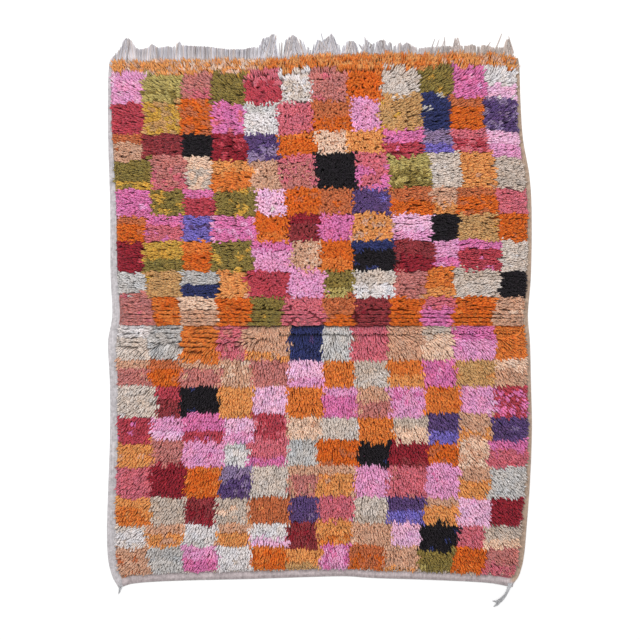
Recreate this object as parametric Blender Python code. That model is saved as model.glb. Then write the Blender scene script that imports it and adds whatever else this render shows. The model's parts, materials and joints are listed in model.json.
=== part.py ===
"""Boucherouite rug lying flat: one hand-knotted cloth with the loose ends of its warp.

Metres, +Z up, +Y towards the fringed end. The origin is on the floor under the middle of
the rug. The cloth is one solid: thin selvedges and a thin hem around a thick, lumpy pile
with locks hanging over its rim. The warp ends at the head are strands on a narrow strip,
and a short tail of warp lies off each corner of the foot.
"""

from collections import namedtuple

import bmesh
import bpy
from mathutils import Vector, noise

# Driving sizes of the cloth
SELVEDGE_THICKNESS = 0.004
HEM_WIDTH = 0.026
HEAD_LIP = 0.004
PILE_HEIGHT = 0.020
LONG_PILE_EXTRA = 0.002
FLANK_RUN = 0.010
RIM_HEIGHT_SHARE = 0.8
LUMP_HEIGHT = 0.0042
LUMP_LENGTH = 0.095
SMALL_LUMP_HEIGHT = 0.0028
SMALL_LUMP_LENGTH = 0.055

# Grid of the pile's top
COLUMNS = 40
CELL_LENGTH = 0.029
MEETING_STEPS = 6

# Locks of pile over the rim
LOCK_REACH = 0.015
LOCK_REACH_SPREAD = 0.4
LOCK_DROP = 0.0028
LOCK_TURN = 0.35

# Warp ends
PART_GAP = 0.0004
STRIP_DEPTH = 0.006
STRAND_COUNT = 96
STRAND_THICKNESS = 0.0038
STRAND_FILL = 0.74
SPIKE_WIDTH_SHARE = 0.62
STRAND_LEAN = 0.004
STRAND_UNEVENNESS = 0.0045
TAIL_HEIGHT = 0.0042
TAIL_SHOULDER = 0.8

# The fold line across the rug, left from when it was stored folded in two
FOLD_Y = -0.017
STRAIGHT_BAND = 0.12

Side = namedtuple("Side", "along left right left_selvedge right_selvedge")
SIDES = (
    Side(-0.788, -0.591, 0.558, 0.024, 0.018),
    Side(-0.758, -0.609, 0.582, 0.026, 0.020),
    Side(-0.705, -0.623, 0.598, 0.027, 0.020),
    Side(-0.600, -0.626, 0.608, 0.027, 0.018),
    Side(-0.480, -0.622, 0.617, 0.026, 0.015),
    Side(-0.320, -0.617, 0.623, 0.025, 0.013),
    Side(-0.180, -0.618, 0.620, 0.025, 0.012),
    Side(-0.060, -0.623, 0.617, 0.026, 0.012),
    Side(0.010, -0.611, 0.611, 0.024, 0.012),
    Side(0.130, -0.616, 0.620, 0.022, 0.012),
    Side(0.330, -0.617, 0.622, 0.019, 0.013),
    Side(0.430, -0.620, 0.615, 0.017, 0.014),
    Side(0.530, -0.623, 0.597, 0.014, 0.012),
    Side(0.650, -0.624, 0.589, 0.011, 0.010),
    Side(0.745, -0.621, 0.586, 0.010, 0.009),
    Side(0.784, -0.614, 0.580, 0.010, 0.009),
)

Edge = namedtuple("Edge", "across along")
FOOT_EDGE = (
    Edge(-0.591, -0.788),
    Edge(-0.553, -0.775),
    Edge(-0.440, -0.767),
    Edge(-0.200, -0.761),
    Edge(0.070, -0.753),
    Edge(0.150, -0.758),
    Edge(0.330, -0.764),
    Edge(0.500, -0.773),
    Edge(0.558, -0.784),
)
HEAD_EDGE = (
    Edge(-0.614, 0.760),
    Edge(-0.300, 0.764),
    Edge(-0.100, 0.768),
    Edge(0.000, 0.778),
    Edge(0.400, 0.783),
    Edge(0.520, 0.779),
    Edge(0.580, 0.770),
)

# How the pile rises and falls across the fold, from below it to above it
Fold = namedtuple("Fold", "offset rise")
FOLD_RIDGES = (
    Fold(-0.034, 0.0000),
    Fold(-0.022, -0.0030),
    Fold(-0.011, 0.0012),
    Fold(0.000, -0.0095),
    Fold(0.008, 0.0018),
    Fold(0.015, -0.0040),
    Fold(0.023, 0.0020),
    Fold(0.031, -0.0038),
    Fold(0.040, 0.0018),
    Fold(0.049, -0.0028),
    Fold(0.060, 0.0008),
)

# How far the ragged warp ends reach, with the clumps that stand out of them
FRINGE_REACH = (
    Edge(-0.606, 0.786),
    Edge(-0.585, 0.812),
    Edge(-0.560, 0.820),
    Edge(-0.535, 0.801),
    Edge(-0.450, 0.804),
    Edge(-0.417, 0.817),
    Edge(-0.380, 0.806),
    Edge(-0.250, 0.798),
    Edge(-0.185, 0.806),
    Edge(-0.150, 0.840),
    Edge(-0.115, 0.824),
    Edge(-0.080, 0.838),
    Edge(-0.035, 0.812),
    Edge(0.015, 0.846),
    Edge(0.060, 0.820),
    Edge(0.125, 0.806),
    Edge(0.170, 0.824),
    Edge(0.230, 0.810),
    Edge(0.310, 0.810),
    Edge(0.375, 0.820),
    Edge(0.430, 0.811),
    Edge(0.520, 0.824),
    Edge(0.570, 0.787),
)
SPIKES = (
    Edge(-0.500, 0.813),
    Edge(0.132, 0.829),
    Edge(0.335, 0.832),
    Edge(0.403, 0.835),
    Edge(0.535, 0.847),
)

# Middle lines of the two tails, from the hem outwards
TailRoot = namedtuple("TailRoot", "across width")
TailStep = namedtuple("TailStep", "across along width")
LEFT_TAIL_ROOT = TailRoot(-0.5862, 0.0085)
LEFT_TAIL = (
    TailStep(-0.5884, -0.7930, 0.0058),
    TailStep(-0.5904, -0.7990, 0.0042),
    TailStep(-0.5928, -0.8050, 0.0022),
)
RIGHT_TAIL_ROOT = TailRoot(0.5530, 0.0095)
RIGHT_TAIL = (
    TailStep(0.5545, -0.7905, 0.0086),
    TailStep(0.5490, -0.8035, 0.0080),
    TailStep(0.5404, -0.8158, 0.0098),
    TailStep(0.5310, -0.8260, 0.0125),
    TailStep(0.5200, -0.8330, 0.0165),
)
RIGHT_TAIL_TIPS = (TailStep(0.5095, -0.8275, 0.0060), TailStep(0.5075, -0.8420, 0.0065))

# Colour, roughness
WOOL = ((0.66, 0.36, 0.27, 1.0), 0.95)
WARP = ((0.62, 0.58, 0.56, 1.0), 0.90)


def read_row(rows, key, column, at):
    """Read one column of a table at any place, on a smooth curve through its rows."""
    keys = [getattr(row, key) for row in rows]
    values = [getattr(row, column) for row in rows]
    if at <= keys[0]:
        return values[0]
    if at >= keys[-1]:
        return values[-1]
    slopes = []
    for index in range(len(rows)):
        before = max(index - 1, 0)
        after = min(index + 1, len(rows) - 1)
        slopes.append((values[after] - values[before]) / (keys[after] - keys[before]))
    index = max(i for i in range(len(rows) - 1) if keys[i] <= at)
    span = keys[index + 1] - keys[index]
    t = (at - keys[index]) / span
    start_weight = 2 * t**3 - 3 * t**2 + 1
    start_slope_weight = t**3 - 2 * t**2 + t
    end_slope_weight = t**3 - t**2
    return (
        start_weight * values[index]
        + (1 - start_weight) * values[index + 1]
        + span * (start_slope_weight * slopes[index] + end_slope_weight * slopes[index + 1])
    )


def foot_edge(x):
    return read_row(FOOT_EDGE, "across", "along", x)


def head_edge(x):
    return read_row(HEAD_EDGE, "across", "along", x)


def place_along(x, nominal_y):
    """Bend a straight row to the foot's or the head's edge, and leave the fold straight."""
    foot_room = FOOT_Y - (FOLD_Y - STRAIGHT_BAND)
    head_room = HEAD_Y - (FOLD_Y + STRAIGHT_BAND)
    foot_share = min(max((nominal_y - (FOLD_Y - STRAIGHT_BAND)) / foot_room, 0.0), 1.0)
    head_share = min(max((nominal_y - (FOLD_Y + STRAIGHT_BAND)) / head_room, 0.0), 1.0)
    return nominal_y + foot_share * (foot_edge(x) - FOOT_Y) + head_share * (head_edge(x) - HEAD_Y)


FOOT_Y = foot_edge(0.0)
HEAD_Y = head_edge(0.0)


def evenly(start, end, count):
    return [start + (end - start) * index / count for index in range(count + 1)]


def row_stations():
    """The straight rows of the grid, foot to head, with every ridge of the fold on one."""
    pile_start = FOOT_Y + HEM_WIDTH + FLANK_RUN
    pile_end = HEAD_Y - HEAD_LIP - FLANK_RUN
    fold_start = FOLD_Y + FOLD_RIDGES[0].offset
    fold_end = FOLD_Y + FOLD_RIDGES[-1].offset
    below = evenly(pile_start, fold_start, round((fold_start - pile_start) / CELL_LENGTH))
    above = evenly(fold_end, pile_end, round((pile_end - fold_end) / CELL_LENGTH))
    ridges = [FOLD_Y + fold.offset for fold in FOLD_RIDGES]
    foot_margin = [FOOT_Y, FOOT_Y + HEM_WIDTH]
    head_margin = [HEAD_Y - HEAD_LIP, HEAD_Y]
    return foot_margin + below + ridges[1:-1] + above + head_margin


def met_side(name, nominal_y):
    """Where a bent row really meets one side, and how wide the selvedge is there."""
    y = nominal_y
    for _ in range(MEETING_STEPS):
        x = read_row(SIDES, "along", name, y)
        y = place_along(x, nominal_y)
    return x, read_row(SIDES, "along", name + "_selvedge", y)


def column_stations(nominal_y):
    """Places across one row: edge, foot of the pile, rim of the pile, and so across."""
    left, left_selvedge = met_side("left", nominal_y)
    right, right_selvedge = met_side("right", nominal_y)
    pile_left = left + left_selvedge
    pile_right = right - right_selvedge
    pile = evenly(pile_left + FLANK_RUN, pile_right - FLANK_RUN, COLUMNS)
    return [left, pile_left] + pile + [pile_right, right]


def pile_top(x, y):
    """Height of the pile: soft lumps, the fold, and a longer pile below the fold."""
    place = Vector((x, y, 0.0))
    height = PILE_HEIGHT + LUMP_HEIGHT * noise.noise(place / LUMP_LENGTH)
    height += SMALL_LUMP_HEIGHT * noise.noise(place / SMALL_LUMP_LENGTH)
    if y < FOLD_Y:
        height += LONG_PILE_EXTRA
    offset = y - FOLD_Y
    if FOLD_RIDGES[0].offset < offset < FOLD_RIDGES[-1].offset:
        height += read_row(FOLD_RIDGES, "offset", "rise", offset)
    return height


def grow(mesh, root, rings):
    """Put a limb with these cross-sections in the place of a face, and return its cap."""
    last = list(root.verts)
    mesh.faces.remove(root)
    for ring in rings:
        verts = [mesh.verts.new(point) for point in ring]
        for here in range(len(verts)):
            after = (here + 1) % len(verts)
            mesh.faces.new((last[here], last[after], verts[after], verts[here]))
        last = verts
    return mesh.faces.new(last)


def grow_lock(mesh, face, outward, turn):
    """Draw one quad of the pile's flank out into a tapering lock that hangs over the rim."""
    corners = [vert.co.copy() for vert in face.verts]
    centre = sum(corners, Vector()) / len(corners)
    uneven = noise.noise(centre * 37.0)
    reach = LOCK_REACH * (1.0 + LOCK_REACH_SPREAD * uneven)
    sideways = outward.cross(Vector((0, 0, 1))) * turn * reach * LOCK_TURN
    rings = []
    for share, scale in ((0.0, 0.72), (0.55, 0.56), (1.0, 0.26)):
        offset = outward * reach * share + sideways * share**2
        offset.z -= LOCK_DROP * share
        rings.append([centre + offset + (corner - centre) * scale for corner in corners])
    grow(mesh, face, rings)


def finish(mesh, name, finish_values):
    """Turn a mesh's faces outwards and store it as a named object with its own material."""
    bmesh.ops.recalc_face_normals(mesh, faces=mesh.faces)
    data = bpy.data.meshes.new(name)
    mesh.to_mesh(data)
    mesh.free()
    colour, roughness = finish_values
    material = bpy.data.materials.new(name)
    material.use_nodes = True
    shader = material.node_tree.nodes["Principled BSDF"]
    shader.inputs["Base Color"].default_value = colour
    shader.inputs["Roughness"].default_value = roughness
    shader.inputs["Metallic"].default_value = 0.0
    material.diffuse_color = colour
    data.materials.append(material)
    piece = bpy.data.objects.new(name, data)
    bpy.context.collection.objects.link(piece)
    return piece


def make_rug():
    """The knotted cloth: flat underneath, thin at its edges, thick and lumpy in its pile."""
    mesh = bmesh.new()
    rows = row_stations()
    grid = []
    for row, nominal_y in enumerate(rows):
        line = []
        stations = column_stations(nominal_y)
        for column, x in enumerate(stations):
            y = place_along(x, nominal_y)
            from_edge = min(row, len(rows) - 1 - row, column, len(stations) - 1 - column)
            height = SELVEDGE_THICKNESS
            if from_edge == 2:
                height = pile_top(x, y) * RIM_HEIGHT_SHARE
            elif from_edge > 2:
                height = pile_top(x, y)
            line.append(mesh.verts.new((x, y, height)))
        grid.append(line)
    last_row = len(grid) - 1
    last_column = len(grid[0]) - 1

    flanks = {"left": [], "right": [], "foot": [], "head": []}
    for row in range(last_row):
        for column in range(last_column):
            face = mesh.faces.new((
                grid[row][column], grid[row][column + 1],
                grid[row + 1][column + 1], grid[row + 1][column],
            ))
            inside_rows = 1 < row < last_row - 2
            inside_columns = 1 < column < last_column - 2
            if column == 1 and inside_rows:
                flanks["left"].append(face)
            elif column == last_column - 2 and inside_rows:
                flanks["right"].append(face)
            elif row == 1 and inside_columns:
                flanks["foot"].append(face)
            elif row == last_row - 2 and inside_columns:
                flanks["head"].append(face)

    rim = [grid[0][column] for column in range(last_column)]
    rim += [grid[row][last_column] for row in range(last_row)]
    rim += [grid[last_row][column] for column in range(last_column, 0, -1)]
    rim += [grid[row][0] for row in range(last_row, 0, -1)]
    floor = [mesh.verts.new((vert.co.x, vert.co.y, 0.0)) for vert in rim]
    for here in range(len(rim)):
        after = (here + 1) % len(rim)
        mesh.faces.new((rim[here], floor[here], floor[after], rim[after]))
    mesh.faces.new(floor)

    outward = {
        "left": Vector((-1, 0, 0)),
        "right": Vector((1, 0, 0)),
        "foot": Vector((0, -1, 0)),
        "head": Vector((0, 1, 0)),
    }
    for side, faces in flanks.items():
        for face in faces:
            turn = noise.noise(face.calc_center_median() * 29.0)
            grow_lock(mesh, face, outward[side], turn * 2)
    return finish(mesh, "rug", WOOL)


def strand_reach(x, half_pitch):
    """How far the warp end at x reaches, and whether it is one of the lone spikes."""
    for spike in SPIKES:
        if abs(spike.across - x) <= half_pitch:
            return spike.along, True
    uneven = STRAND_UNEVENNESS * noise.noise(Vector((x * 61.0, 4.0, 0.0)))
    return read_row(FRINGE_REACH, "across", "along", x) + uneven, False


def make_head_fringe():
    """The warp ends at the head: flat strands in a row, fused at a narrow woven strip."""
    mesh = bmesh.new()
    start = FRINGE_REACH[0].across
    end = FRINGE_REACH[-1].across
    pitch = (end - start) / STRAND_COUNT
    half = pitch * STRAND_FILL / 2
    stations = []
    for number in range(STRAND_COUNT):
        middle = start + pitch * (number + 0.5)
        stations += [middle - half, middle + half]
    sections = []
    for x in stations:
        back = head_edge(x) + PART_GAP
        corners = (
            (x, back, 0.0),
            (x, back, STRAND_THICKNESS),
            (x, back + STRIP_DEPTH, STRAND_THICKNESS),
            (x, back + STRIP_DEPTH, 0.0),
        )
        sections.append([mesh.verts.new(corner) for corner in corners])
    mesh.faces.new(sections[0])
    mesh.faces.new(sections[-1])
    roots = []
    for number in range(len(sections) - 1):
        here, after = sections[number], sections[number + 1]
        for corner in range(4):
            following = (corner + 1) % 4
            face = mesh.faces.new((here[corner], here[following], after[following], after[corner]))
            if corner == 2 and number % 2 == 0:
                roots.append(face)
    for root in roots:
        corners = [vert.co.copy() for vert in root.verts]
        middle = sum(corners, Vector()) / 4
        tip, is_spike = strand_reach(middle.x, pitch / 2)
        slim = SPIKE_WIDTH_SHARE if is_spike else 1.0
        lean = STRAND_LEAN * noise.noise(Vector((middle.x * 19.0, 9.0, 0.0)))
        rings = []
        for share, width_share, height_share in ((0.5, 0.94 * slim, 0.9), (1.0, 0.5 * slim, 0.6)):
            ring = []
            for corner in corners:
                x = middle.x + lean * share + (corner.x - middle.x) * width_share
                y = corner.y + (tip - corner.y) * share
                ring.append((x, y, corner.z * height_share))
            rings.append(ring)
        grow(mesh, root, rings)
    return finish(mesh, "head_fringe", WARP)


def tail_ring(step, before, after, height):
    """Six points around a tail: left, middle and right on the floor, and back over the top."""
    along = Vector((after.across - before.across, after.along - before.along, 0.0)).normalized()
    sideways = Vector((0, 0, 1)).cross(along) * step.width / 2
    middle = Vector((step.across, step.along, 0.0))
    top = Vector((0, 0, height))
    floor = [middle - sideways, middle, middle + sideways]
    shoulder = top * TAIL_SHOULDER
    crown = [middle + sideways * 0.7 + shoulder, middle + top, middle - sideways * 0.7 + shoulder]
    return floor + crown


def make_tail(name, root, steps, tips=()):
    """A warp tail on the floor off one corner of the hem, whole or split at its end."""
    mesh = bmesh.new()
    half = root.width / 2
    left = Vector((root.across - half, foot_edge(root.across - half) - 2 * PART_GAP, 0.0))
    right = Vector((root.across + half, foot_edge(root.across + half) - 2 * PART_GAP, 0.0))
    middle = (left + right) / 2
    top = Vector((0, 0, TAIL_HEIGHT))
    shoulder = top * TAIL_SHOULDER
    points = [left, middle, right, right + shoulder, middle + top, left + shoulder]
    base = mesh.faces.new([mesh.verts.new(point) for point in points])
    rings = []
    for number, step in enumerate(steps):
        before = steps[max(number - 1, 0)]
        after = steps[min(number + 1, len(steps) - 1)]
        height = TAIL_HEIGHT * (1.0 if tips else 1.0 - 0.5 * number / (len(steps) - 1))
        rings.append(tail_ring(step, before, after, height))
    root_verts = list(base.verts)
    cap = grow(mesh, base, rings)
    mesh.faces.new(root_verts)
    if tips:
        verts = list(cap.verts)
        mesh.faces.remove(cap)
        halves = (
            mesh.faces.new((verts[0], verts[1], verts[4], verts[5])),
            mesh.faces.new((verts[1], verts[2], verts[3], verts[4])),
        )
        for prong, tip in zip(halves, tips):
            corners = [vert.co.copy() for vert in prong.verts]
            centre = sum(corners, Vector()) / 4
            width = max((a - b).length for a in corners for b in corners)
            shrink = tip.width / width
            ring = []
            for corner in corners:
                offset = (corner - centre) * shrink
                ring.append((tip.across + offset.x, tip.along + offset.y, corner.z * 0.7))
            grow(mesh, prong, [ring])
    return finish(mesh, name, WARP)


def main():
    for item in list(bpy.data.objects):
        bpy.data.objects.remove(item, do_unlink=True)
    make_rug()
    make_head_fringe()
    make_tail("foot_tail_left", LEFT_TAIL_ROOT, LEFT_TAIL)
    make_tail("foot_tail_right", RIGHT_TAIL_ROOT, RIGHT_TAIL, RIGHT_TAIL_TIPS)


main()
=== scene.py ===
"""Looks of the boucherouite rug: its woven ground, knotted pile, fringe and tails.

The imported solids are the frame. The ground weave, the pile and the warp ends are made
around them in metres, +Z up and +Y towards the fringed head.
"""

import json
import math
import random
from collections import namedtuple

import bmesh
import bpy
import numpy as np
from mathutils import Color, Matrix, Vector, noise
from mathutils.bvhtree import BVHTree

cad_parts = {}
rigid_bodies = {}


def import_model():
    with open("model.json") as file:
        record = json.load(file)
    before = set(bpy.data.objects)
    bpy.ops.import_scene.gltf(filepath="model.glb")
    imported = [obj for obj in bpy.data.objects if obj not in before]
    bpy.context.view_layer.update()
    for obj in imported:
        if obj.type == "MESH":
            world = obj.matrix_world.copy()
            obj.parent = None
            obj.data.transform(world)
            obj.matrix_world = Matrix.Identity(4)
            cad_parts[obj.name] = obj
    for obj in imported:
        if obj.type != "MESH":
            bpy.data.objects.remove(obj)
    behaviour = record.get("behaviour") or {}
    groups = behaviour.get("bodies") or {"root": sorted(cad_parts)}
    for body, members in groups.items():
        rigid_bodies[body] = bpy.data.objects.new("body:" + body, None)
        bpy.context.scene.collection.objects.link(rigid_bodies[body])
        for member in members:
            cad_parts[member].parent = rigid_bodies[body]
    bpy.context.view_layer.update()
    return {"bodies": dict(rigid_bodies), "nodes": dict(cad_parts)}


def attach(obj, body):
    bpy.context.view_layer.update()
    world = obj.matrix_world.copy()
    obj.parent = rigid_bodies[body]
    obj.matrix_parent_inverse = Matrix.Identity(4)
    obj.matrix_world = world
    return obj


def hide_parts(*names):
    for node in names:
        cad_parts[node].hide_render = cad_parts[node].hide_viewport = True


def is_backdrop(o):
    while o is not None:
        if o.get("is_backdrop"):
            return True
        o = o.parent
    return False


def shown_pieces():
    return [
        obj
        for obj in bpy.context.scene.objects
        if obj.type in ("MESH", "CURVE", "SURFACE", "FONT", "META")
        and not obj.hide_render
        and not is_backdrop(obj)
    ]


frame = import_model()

bl_info = {
    "name": "Boucherouite Rug",
    "version": (1, 0, 0),
    "blender": (4, 5, 0),
    "location": "View3D > Sidebar > Rug",
    "description": "Builds a knotted rug with its ground weave, pile, fringe and tails",
    "category": "Add Mesh",
}

BODY = next(iter(frame["bodies"]))
UP = Vector((0.0, 0.0, 1.0))

# Dyes: name, colour, the yarn piece it belongs to, how often it is used above and below the fold,
# and the kin dyes that follow it inside a square where a dye bath ran out
Dye = namedtuple("Dye", "name colour piece above below kin")
DYES = (
    Dye("orange", (0.78, 0.37, 0.11), "orange", 16, 4, ("marigold", "terracotta")),
    Dye("marigold", (0.80, 0.44, 0.19), "amber", 3, 10, ("orange", "amber")),
    Dye("amber", (0.82, 0.54, 0.31), "amber", 7, 11, ("marigold", "salmon")),
    Dye("terracotta", (0.71, 0.39, 0.24), "terracotta", 4, 1, ("amber", "orange")),
    Dye("salmon", (0.76, 0.58, 0.48), "terracotta", 4, 10, ("sand", "terracotta")),
    Dye("sand", (0.85, 0.71, 0.62), "sand", 3, 9, ("beige", "salmon")),
    Dye("ochre", (0.72, 0.55, 0.36), "sand", 5, 3, ("amber", "mustard")),
    Dye("beige", (0.73, 0.66, 0.61), "sand", 1, 3, ("cream", "sand")),
    Dye("bright_pink", (0.80, 0.43, 0.62), "pink", 6, 5, ("pink", "dusty_rose")),
    Dye("pink", (0.84, 0.57, 0.72), "pink", 6, 11, ("pale_pink", "bright_pink")),
    Dye("pale_pink", (0.87, 0.67, 0.78), "pale_pink", 2, 5, ("pink", "white")),
    Dye("crimson", (0.53, 0.12, 0.17), "crimson", 2.5, 1, ("rose", "maroon")),
    Dye("rose", (0.67, 0.24, 0.29), "rose", 8, 6, ("dusty_rose", "bright_pink")),
    Dye("dusty_rose", (0.76, 0.39, 0.44), "rose", 9, 10, ("bright_pink", "old_rose")),
    Dye("old_rose", (0.71, 0.44, 0.42), "rose", 6, 10, ("salmon", "dusty_rose")),
    Dye("maroon", (0.52, 0.19, 0.21), "crimson", 1.5, 1, ("crimson", "rose")),
    Dye("olive", (0.49, 0.42, 0.21), "olive", 6, 2, ("moss", "mustard")),
    Dye("moss", (0.66, 0.59, 0.35), "olive", 2, 2, ("olive", "sand")),
    Dye("mustard", (0.74, 0.57, 0.24), "olive", 4, 0.5, ("ochre", "olive")),
    Dye("purple", (0.33, 0.24, 0.42), "purple", 3, 1.6, ("violet", "pale_purple")),
    Dye("violet", (0.44, 0.38, 0.67), "purple", 1.2, 0.8, ("purple", "pale_purple")),
    Dye("pale_purple", (0.52, 0.44, 0.57), "purple", 0.6, 0.3, ("purple", "pale_pink")),
    Dye("navy", (0.16, 0.18, 0.35), "dark", 0.5, 0.4, ("grey", "purple")),
    Dye("black", (0.09, 0.07, 0.09), "dark", 4.5, 3, ("black", "navy")),
    Dye("cream", (0.77, 0.71, 0.67), "cream", 6, 5, ("white", "beige")),
    Dye("white", (0.82, 0.79, 0.79), "cream", 2, 3, ("cream", "pale_grey")),
    Dye("grey", (0.68, 0.66, 0.65), "grey", 0.5, 2, ("pale_grey", "beige")),
    Dye("pale_grey", (0.73, 0.71, 0.70), "grey", 0.6, 2.5, ("grey", "white")),
)
DYE = {dye.name: dye for dye in DYES}
# Dyes mixed in the head band, up to a share of the width
HEAD_DYES = (
    (0.38, ("amber", "sand", "amber", "salmon", "amber")),
    (0.80, ("marigold", "amber", "marigold", "amber")),
    (9.99, ("amber", "marigold", "salmon", "amber")),
)
# The head band's edge waves this often across the rug, along one row of the noise
HEAD_WAVES = 9
HEAD_ROW = 3.0

# Colours nearer than this seldom lie beside each other, above or below the fold, and one dye
# seldom lies across a corner from itself
ALIKE = 0.26
ALIKE_ABOVE = 0.12
ALIKE_BELOW = 0.4
SAME_AT_CORNER = 0.25
# Where a kin dye takes over, as a share of a square's height, and how much of it is mixed in
TAKEN_OVER = (0.3, 0.75)
NEVER_TAKEN = 1.5
MIXED_IN = (0.15, 0.5)
HARDLY_MIXED = 0.02
# How a border keeps the last band's drift, drifts on and shifts by itself, and how far a band's
# height is off
DRIFT_KEPT = 0.7
DRIFT_ADDED = 0.7
OWN_SHIFT = 0.6
BAND_SHIFT = 0.12
# Dark squares keep at least this many squares apart
DARK_APART = 2

# How the yarns of a knot run: how many, their way from the knot to the cut end in metres out along
# the lean and up, their width, spread and turn away from each other against the pile's settings,
# how unevenly long they are, how blunt they end, how far the knot turns off the lean, and whether
# it has a thick yarn in its middle
Form = namedtuple("Form", "strands path width spread fan uneven blunt turn core")
FORMS = (
    Form(5, ((0.0000, 0.0000), (0.0010, 0.0118), (0.0065, 0.0174), (0.0145, 0.0152)),
         1.24, 1.3, 16.0, 0.12, 0.65, 3.1, True),
    Form(4, ((0.0000, 0.0000), (0.0030, 0.0114), (0.0110, 0.0168), (0.0185, 0.0146)),
         1.18, 1.3, 3.5, 0.14, 0.60, 0.8, True),
    Form(5, ((0.0000, 0.0000), (0.0180, 0.0152), (0.0255, 0.0126)),
         1.0, 1.3, 1.7, 0.16, 0.60, 0.20, False),
    Form(5, ((0.0000, 0.0000), (0.0190, 0.0145), (0.0270, 0.0114)),
         0.98, 1.4, 2.0, 0.18, 0.50, 0.22, False),
    Form(5, ((0.0000, 0.0020), (0.0070, 0.0150), (0.0200, 0.0142)),
         0.96, 1.05, 1.0, 0.20, 0.65, 0.05, False),
    Form(6, ((0.0000, 0.0000), (0.0140, 0.0160), (0.0250, 0.0126)),
         0.74, 1.5, 2.2, 0.22, 0.40, 0.27, False),
)
UPRIGHT, LEANING, LYING, LONG, FOLDED, BRUSHED = range(len(FORMS))
MOST_STRANDS = max(form.strands + form.core for form in FORMS)
# The thick yarn in a knot's middle
CORE_PATH = ((0.0000, 0.000), (0.0015, 0.0110), (0.0040, 0.0152))
CORE_WIDTH = 0.0165
CORE_SIDES = 4
CORE_BLUNT = 0.8
CORE_ROLL = 6
CORE_SHADE = 0.5
# How unevenly the yarns of a knot stand around it, turn, rise, stray sideways and swell
PLACE_CHANCE = 0.2
FAN_CHANCE = 0.7
FAN_SHARE = 0.5
RISE_SHARE = 0.6
WOBBLE = 0.0012
WIDTHS = (0.86, 1.14)
# The height that the forms are drawn at, and how high over the floor they start
FORM_HEIGHT = 0.0205
ROOT_HEIGHT = 0.0048
# Patterns made of each form, and the sides of one yarn of the pile
VARIANTS = 10
YARN_SIDES = 3
# A yarn's own map: the strip kept for its root, that end's place and size, and the room around it
ROOT_STRIP = 0.06
ROOT_SPOT = (0.1, 0.025)
ROOT_RADII = (0.04, 0.02)
MAP_MARGIN = 0.06

# How a warp end lies on the floor, along its length and up, and how far it strays sideways
WARP_END = ((0.000, 0.0000), (0.013, 0.0000), (0.026, -0.0004), (0.0375, -0.0008),
            (0.040, -0.0010))
WARP_STRAY = 0.0007
STRAY_AFTER = 0.01
WARP_SIDES = 4
WARP_ROLL = 1.5
TAPERED, BLUNT = 0, 1
WARP_BLUNT = (0.4, 0.85)
# How far inside the head a warp end starts, how high, how far it turns and tilts by chance, and
# how short it may be
WARP_ROOT = 0.014
WARP_HEIGHT = 0.0032
WARP_ARCH = 0.0006
WARP_TURN = 0.03
WARP_TILT = 0.003
SHORTEST_END = 0.006
# The ends turn ragged over a span from here across, and left of it they are even
RAGGED_FROM = -0.20
RAGGED_SPAN = 0.08
# They taper where they are more ragged, or the edge is steeper, than this
MOSTLY_RAGGED = 0.5
STEEP = 0.9
# They are drawn towards the tips of the clumps: by the edge's slope over a span, up to a slope of
# 1, by their bundle and by chance. A pair is what every end has and what the ragged ones add
SLOPE_SPAN = 0.010
SLOPE_PULL = 0.45
SLOPE_PULL_SHARE = (0.45, 0.55)
BUNDLE_PULL = 0.15
WANDER_SHARE = (0.3, 0.7)
TIP_SPREAD = (0.0008, 0.0014)
TIP_SHORT = (0.0004, 0.0012)
# The ends' level of colour, the darker ones among them, and the warm ones at the right
WARP_LEVEL = 0.92
RIB_LEVEL = 0.12
WARP_LEVELS = (-0.14, 0.12)
DARKER_ENDS = 0.16
DARKER_LEVEL = 0.66
WARM_FROM = (0.1, 0.5)
WARM_CHANCE = 0.9

# The ragged line of the warp ends' tips, from the left corner to the right one, across and along
FRINGE_EDGE = (
    (-0.613, 0.770), (-0.607, 0.778), (-0.598, 0.788), (-0.585, 0.803), (-0.580, 0.812), (-0.578, 0.825),
    (-0.566, 0.832), (-0.554, 0.821), (-0.544, 0.805), (-0.532, 0.798), (-0.520, 0.799), (-0.504, 0.804),
    (-0.496, 0.813), (-0.488, 0.810), (-0.475, 0.802), (-0.447, 0.807), (-0.433, 0.804), (-0.423, 0.810),
    (-0.414, 0.821), (-0.406, 0.811), (-0.396, 0.809), (-0.352, 0.807), (-0.322, 0.805), (-0.299, 0.801),
    (-0.269, 0.798), (-0.224, 0.798), (-0.209, 0.802), (-0.182, 0.805), (-0.174, 0.815), (-0.169, 0.830),
    (-0.153, 0.836), (-0.132, 0.845), (-0.128, 0.833), (-0.123, 0.820), (-0.114, 0.822), (-0.096, 0.829),
    (-0.083, 0.841), (-0.071, 0.834), (-0.056, 0.827), (-0.045, 0.818), (-0.034, 0.802), (-0.029, 0.795),
    (-0.016, 0.817), (-0.007, 0.828), (0.007, 0.821), (0.021, 0.834), (0.034, 0.847), (0.041, 0.833),
    (0.049, 0.819), (0.059, 0.811), (0.070, 0.805), (0.074, 0.823), (0.096, 0.822), (0.112, 0.814),
    (0.124, 0.804), (0.128, 0.802), (0.131, 0.839), (0.141, 0.824), (0.153, 0.812), (0.165, 0.820),
    (0.186, 0.828), (0.198, 0.810), (0.203, 0.822), (0.218, 0.808), (0.236, 0.818), (0.244, 0.811),
    (0.256, 0.819), (0.285, 0.802), (0.329, 0.805), (0.367, 0.808), (0.390, 0.808), (0.402, 0.842),
    (0.413, 0.808), (0.432, 0.809), (0.447, 0.813), (0.465, 0.806), (0.482, 0.811), (0.497, 0.808),
    (0.514, 0.803), (0.539, 0.805), (0.552, 0.833), (0.558, 0.823), (0.565, 0.796), (0.570, 0.780),
)
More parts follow.
